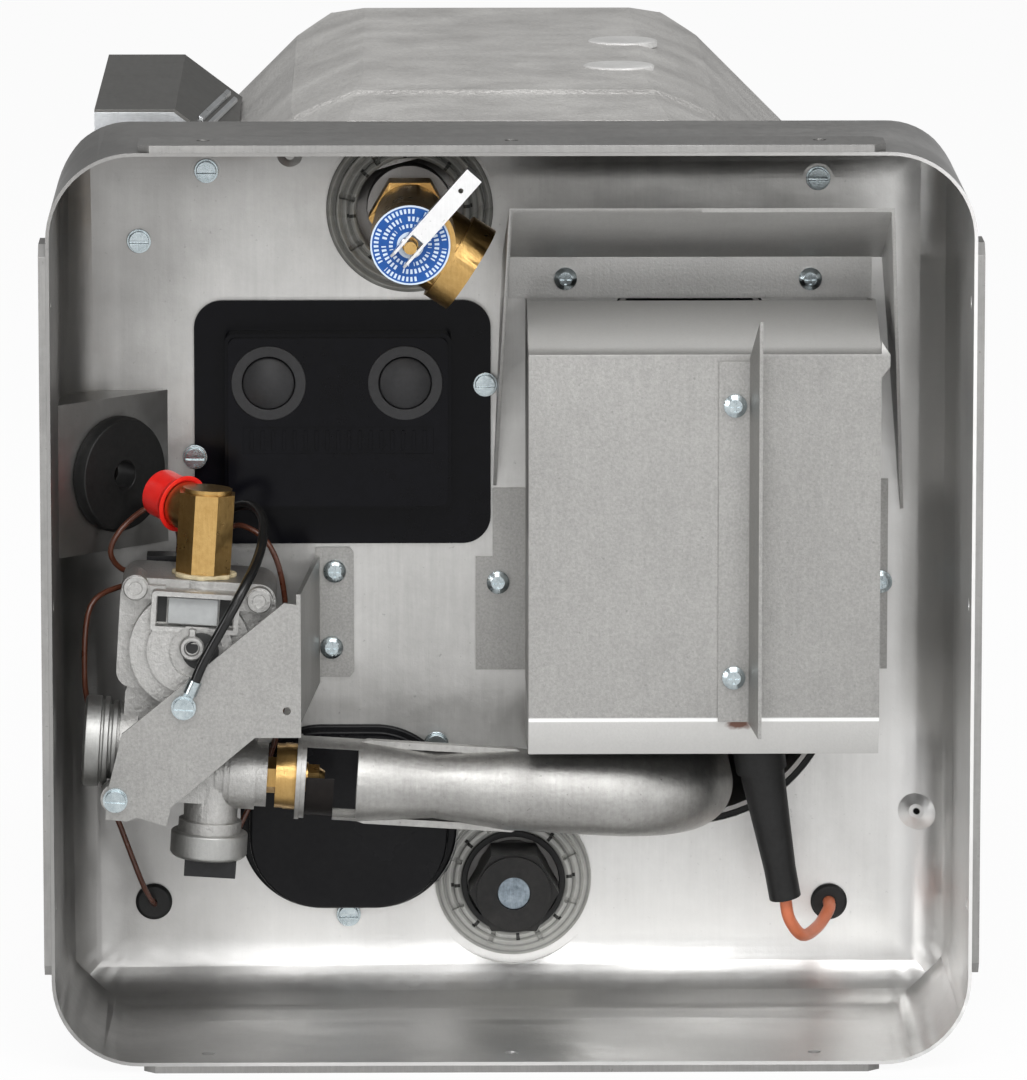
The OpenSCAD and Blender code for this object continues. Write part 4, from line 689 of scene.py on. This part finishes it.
def slab(name, material, low, high, bevel=0.3, body="heater", where=valve_spot, squeeze=1.0):
    """A block between two corners in the valve's frame, its front face drawn in by squeeze."""
    bpy.ops.mesh.primitive_cube_add(size=1)
    piece = bpy.context.object
    piece.name = name
    for vertex in piece.data.vertices:
        corner = [low[i] if vertex.co[i] < 0 else high[i] for i in range(3)]
        if vertex.co.y < 0:
            for i in (0, 2):
                middle = (low[i] + high[i]) / 2
                corner[i] = middle + (corner[i] - middle) * squeeze
        vertex.co = where(*corner)
    piece.data.materials.append(material)
    finish(piece, bevel, 3, 30)
    bpy.ops.object.select_all(action="DESELECT")
    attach(piece, body)
    return piece


pale_insert = moulded("pale_insert", (0.28, 0.29, 0.29), (0.37, 0.38, 0.38), 0.4, 300, 0.2)
slab("recess_insert", pale_insert, (-31.6, -17.6, 54.6), (-14.4, -14.3, 63.8), 0.4)
deep_shadow = moulded("deep_shadow", (0.008, 0.008, 0.008), (0.016, 0.016, 0.016), 0.6)
for name, left, right in (("recess_slot_left", -35.4, -32.2), ("recess_slot_right", -13.8, -9.2)):
    slab(name, deep_shadow, (left, -15.1, 54.6), (right, -14.3, 63.8), 0.1)
turned("vent_pocket", deep_shadow, [(6.4, 0), (6.4, 1.0), (6.0, 1.15), (2, 1.16)],
       valve_spot(-19.6, -18, 45.6), (0, -1, 0), 36, 0)
turned("vent_ring", cast_zinc, [(4.3, 0), (4.3, 3.0), (3.8, 3.6), (2.8, 3.6), (2.4, 1.6), (1.2, 1.4)],
       valve_spot(-22.6, -17.6, 46.8), (0, -1, 0), 36, 0)
slab("vent_stem", cast_zinc, (-23.9, -20.6, 50.2), (-21.5, -17.0, 53.4), 0.5)
for name, u, v in (("ear_boss_left", -43.3, 66), ("ear_boss_right", -0.3, 64)):
    turned(name, cast_zinc, [(4.3, 0), (4.3, 0.6), (3.9, 0.9), (2.4, 0.9), (2.2, 0.7), (1.0, 0.7)],
           valve_spot(u, -16, v), (0, -1, 0), 36, 0)


# Gas inlet. A brass elbow screwed into the valve over a smear of thread
# sealant, with a red shipping cap on its flare.

dress("gas_elbow", brass, 0.5, 3)


def smear(piece):
    """The sealant squeezed out unevenly round the fitting."""
    middle = valve_spot(-20.5, 0, 69)
    for vertex in piece.data.vertices:
        outward = Vector((vertex.co.x - middle.x, vertex.co.y - middle.y))
        if outward.length > 0.0085:
            angle = math.atan2(outward.y, outward.x)
            grow = (0.1 + 0.07 * math.sin(3 * angle + 1) + 0.06 * math.sin(7 * angle)
                    + 0.03 * math.sin(12 * angle + 2))
            vertex.co.x += outward.x * grow
            vertex.co.y += outward.y * grow


sealant = moulded("sealant", (0.42, 0.34, 0.19), (0.66, 0.57, 0.38), 0.5, 500, 0.6)
dress("elbow_sealant", sealant, 0.5, 3, shape=smear)
red_vinyl = moulded("red_vinyl", (0.74, 0.012, 0.010), (0.90, 0.025, 0.018), 0.3, 200, 0.05)
dress("gas_inlet_cap", red_vinyl, 0.7, 3, body="inlet_cap")


# Valve bracket and its screws. Bent galvanised sheet on zinc-plated screws.

galvanised = metal("galvanised", (0.24, 0.237, 0.23), (0.40, 0.395, 0.38), 0.42, 0.14, 16, 1150, 70,
                   (0.25, 0.6, 0.15), 0.2, 0.35, 0.8)
dress("valve_bracket", galvanised, 0.35, 3)
zinc_screw = metal("zinc_screw", (0.27, 0.32, 0.34), (0.56, 0.62, 0.64), 0.22, 0.1, 200, 900, 300, bump=0.1)
for name in ("bracket_screws", "ring_terminal", "flue_screws", "junction_screws", "pan_screws",
             "cover_screws"):
    dress(name, zinc_screw, 0.2)


# Burner. A drawn tube with an air window, a pinched throat and a bend into the
# fire tube, fed by a brass holder and nozzle.

dress("orifice_holder", brass, 0.25)
burner_steel = metal("burner_steel", (0.27, 0.265, 0.255), (0.50, 0.495, 0.48), 0.44, 0.2, 20, 500, 80,
                     (0.45, 0.35, 0.2), 0.3, 0.7)
dress("burner_tube", burner_steel, 0.2, crease=40)
dark_shutter = moulded("dark_shutter", (0.006, 0.005, 0.005), (0.013, 0.011, 0.010), 0.5, specular=0.1)
dress("air_shutter", dark_shutter, 0.1, body="shutter")
ceramic = moulded("ceramic", (0.72, 0.71, 0.67), (0.82, 0.81, 0.78), 0.25)
dress("spark_electrode", ceramic, 0.2)
dress("igniter_boot", black_rubber, 0.5, 3)


# Flue hood and cover. Folded galvanised sheet with a screwed-on stiffener, and
# a smear of rust where the lip is folded.

rusty_sheet = metal("rusty_sheet", (0.24, 0.237, 0.23), (0.40, 0.395, 0.38), 0.42, 0.14, 12, 1100, 60,
                    (0.3, 0.55, 0.15), 0.22, 0.35)
tree = rusty_sheet.node_tree
shader = tree.nodes["Principled BSDF"]
here = tree.nodes.new("ShaderNodeTexCoord").outputs["Object"]
height = tree.nodes.new("ShaderNodeSeparateXYZ")
link(tree, here, height.inputs[0])
# The baffle above the face is less metallic and scatters more; it and the lip below the face are painted
# lighter as reflected light, and the lip's fold carries a painted highlight
baffle = span(tree, height.outputs["Z"], 0.2445, 0.2470)
lip = span(tree, height.outputs["Z"], 0.1176, 0.1164)
link(tree, math_node(tree, "MULTIPLY_ADD", baffle, -0.55, 0.8), shader.inputs["Metallic"])
fold = span(tree, math_node(tree, "ABSOLUTE", math_node(tree, "SUBTRACT", height.outputs["Z"], 0.1172)),
            0.0009, 0.0004)
baffle_and_lip_sheen = math_node(tree, "MAXIMUM", baffle, lip)
# Painted reflection: the baffle and the lip lighter
paint_over(tree, math_node(tree, "MULTIPLY", baffle_and_lip_sheen, 0.6), (0.66, 0.655, 0.64))
# Painted highlight: a near-white line along the lip's fold
paint_over(tree, math_node(tree, "MULTIPLY", fold, 0.9), (0.95, 0.95, 0.94))
rust_place = spot(79.4, 34, -45.2)
flatness = 2.2
spread = tree.nodes.new("ShaderNodeVectorMath")
spread.operation = "LENGTH"
link(tree, mapped(tree, here, (1, 1, flatness), (-rust_place.x, -rust_place.y, -rust_place.z * flatness)),
     spread.inputs[0])
edge = math_node(tree, "MULTIPLY_ADD", noise(tree, here, 300, 3), 0.006, spread.outputs["Value"])
stain = span(tree, edge, 0.0085, 0.0055, 0, 0.9)
paint_over(tree, stain, (0.10, 0.030, 0.012))
hood_sheet = metal("hood_sheet", (0.40, 0.395, 0.385), (0.58, 0.575, 0.56), 0.40, 0.14, 16, 1150, 70,
                   (0.3, 0.5, 0.2), 0.2, 0.35, 0.6)
dress("flue_hood", hood_sheet, 0.3)


def steepen_lip(piece):
    """The folded lip's lower edge brought forward, so that the strip looks ahead."""
    for vertex in piece.data.vertices:
        x, y, z = pan_place(vertex.co)
        if z < -54 and y < 60:
            vertex.co.y -= 0.0085


dress("flue_cover", rusty_sheet, 0.5, 3, shape=steepen_lip)
dress("stiffener_angle", galvanised, 0.35, 3)


# Junction box. Zinc-plated sheet on the jacket's chamfer, with a duller cover
# that has two pressed louvres on its slope.

zinc_sheet = metal("zinc_sheet", (0.62, 0.64, 0.66), (0.82, 0.84, 0.86), 0.3, 0.12, 24, 300, 70)
dress("junction_box", zinc_sheet, 0.35)
dull_sheet = metal("dull_sheet", (0.12, 0.118, 0.113), (0.20, 0.197, 0.187), 0.42, 0.12, 20, 420, 60)
dress("junction_cover", dull_sheet, 0.35)


def on_slope(u, y, v):
    """A place on the cover's slope, from a line that runs back along it."""
    x = -110.4 + (y - 246) * 0.063 + u
    return spot(x, y, 146.8 - (x + 119.4) * 0.65 + v)


slab("louvre_left", zinc_sheet, (-0.7, 244, -1.0), (0.8, 372, 0.5), 0.25, where=on_slope)
slab("louvre_right", zinc_sheet, (2.6, 246, -1.0), (3.9, 364, 0.45), 0.25, where=on_slope)


# Leads. Insulated wires of the valve and the igniter, short enough to hold
# their own curves between the pieces they join.

def smooth_line(stops, steps=6):
    """A flowing line through the stops, with more points between them."""
    line = []
    for i in range(len(stops) - 1):
        a, b = stops[max(i - 1, 0)], stops[i]
        c, d = stops[i + 1], stops[min(i + 2, len(stops) - 1)]
        for k in range(steps):
            t = k / steps
            line.append([0.5 * (2 * q + (r - p) * t + (2 * p - 5 * q + 4 * r - s) * t * t
                                + (3 * q - p - 3 * r + s) * t ** 3)
                         for p, q, r, s in zip(a, b, c, d)])
    return line + [list(stops[-1])]


def lead(name, node, material, start, stops, radius):
    """A lead laid through stops given in mm from a start place."""
    line = [spot(start[0] + p[0], start[1] + p[1], start[2] + p[2]) for p in smooth_line(stops)]
    curve = bpy.data.curves.new(name, "CURVE")
    curve.dimensions = "3D"
    curve.bevel_depth = radius / 1000
    curve.bevel_resolution = 5
    curve.use_fill_caps = True
    spline = curve.splines.new("POLY")
    spline.points.add(len(line) - 1)
    for point, place in zip(spline.points, line):
        point.co = (*place, 1)
    spline.use_smooth = True
    curve.materials.append(material)
    piece = bpy.data.objects.new(name, curve)
    bpy.context.collection.objects.link(piece)
    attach(piece, "heater")
    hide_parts(node)
    return piece


pan_floor = 110
valve_start = (valve_x, pan_floor, valve_z)
black_sleeve = moulded("black_sleeve", (0.004, 0.004, 0.004), (0.009, 0.009, 0.009), 0.2, 300, 0.1, 0.0002,
                       specular=0.35)
brown_sleeve = moulded("brown_sleeve", (0.060, 0.018, 0.009), (0.105, 0.034, 0.018), 0.28, 300, 0.1, 0.0002)
orange_sleeve = moulded("orange_sleeve", (0.50, 0.11, 0.035), (0.64, 0.20, 0.10), 0.34, 120, 0.1, 0.0002)
lead("earth_wire", "earth_lead", black_sleeve, valve_start, [
    (-15.3, -20, 72.4), (-14.3, -21, 80), (-8, -28, 88.4), (0, -40, 92.6), (5, -53, 89),
    (3.5, -67, 79), (-3, -80, 67), (-14.9, -82.4, 45.7), (-18.34, -82.4, 37.93)], 1.8)
lead("coil_wire_top", "valve_leads", brown_sleeve, valve_start, [
    (-25.3, -20, 72.4), (-25.3, -19, 79), (-29, -18.2, 87.4), (-36, -20, 88.4),
    (-45, -26, 82), (-49, -27, 74), (-45, -23, 67), (-36.3, -22, 65.9)], 1)
lead("coil_wire_down", "valve_leads", brown_sleeve, valve_start, [
    (-36.3, -23, 61.9), (-44, -26, 61.9), (-55.9, -36, 56), (-58, -40, 32), (-55.8, -34, 14),
    (-52.8, -29, -6), (-46.5, -22, -25), (-39, -12, -48), (-35.3, -3.6, -56.9), (-35.3, 2.8, -56.9)], 1)
lead("coil_wire_right", "valve_leads", brown_sleeve, valve_start, [
    (-11.3, -20, 72.4), (-10.3, -21, 79), (-3, -26, 83), (7, -29, 76), (12, -29, 58),
    (12, -29, 28), (8, -32, 6), (-1, -37, -16), (-10, -42, -32.6), (-11.3, -47, -32.6)], 1)
lead("igniter_wire", "igniter_lead", orange_sleeve, (86.5, pan_floor, -62), [
    (10.5, -43, -51.4), (12, -41.6, -59.5), (17, -34, -67), (23, -20, -67),
    (27.4, -9, -63.2), (27.9, -3.6, -61.9), (27.9, 2.8, -61.9)], 2.2)
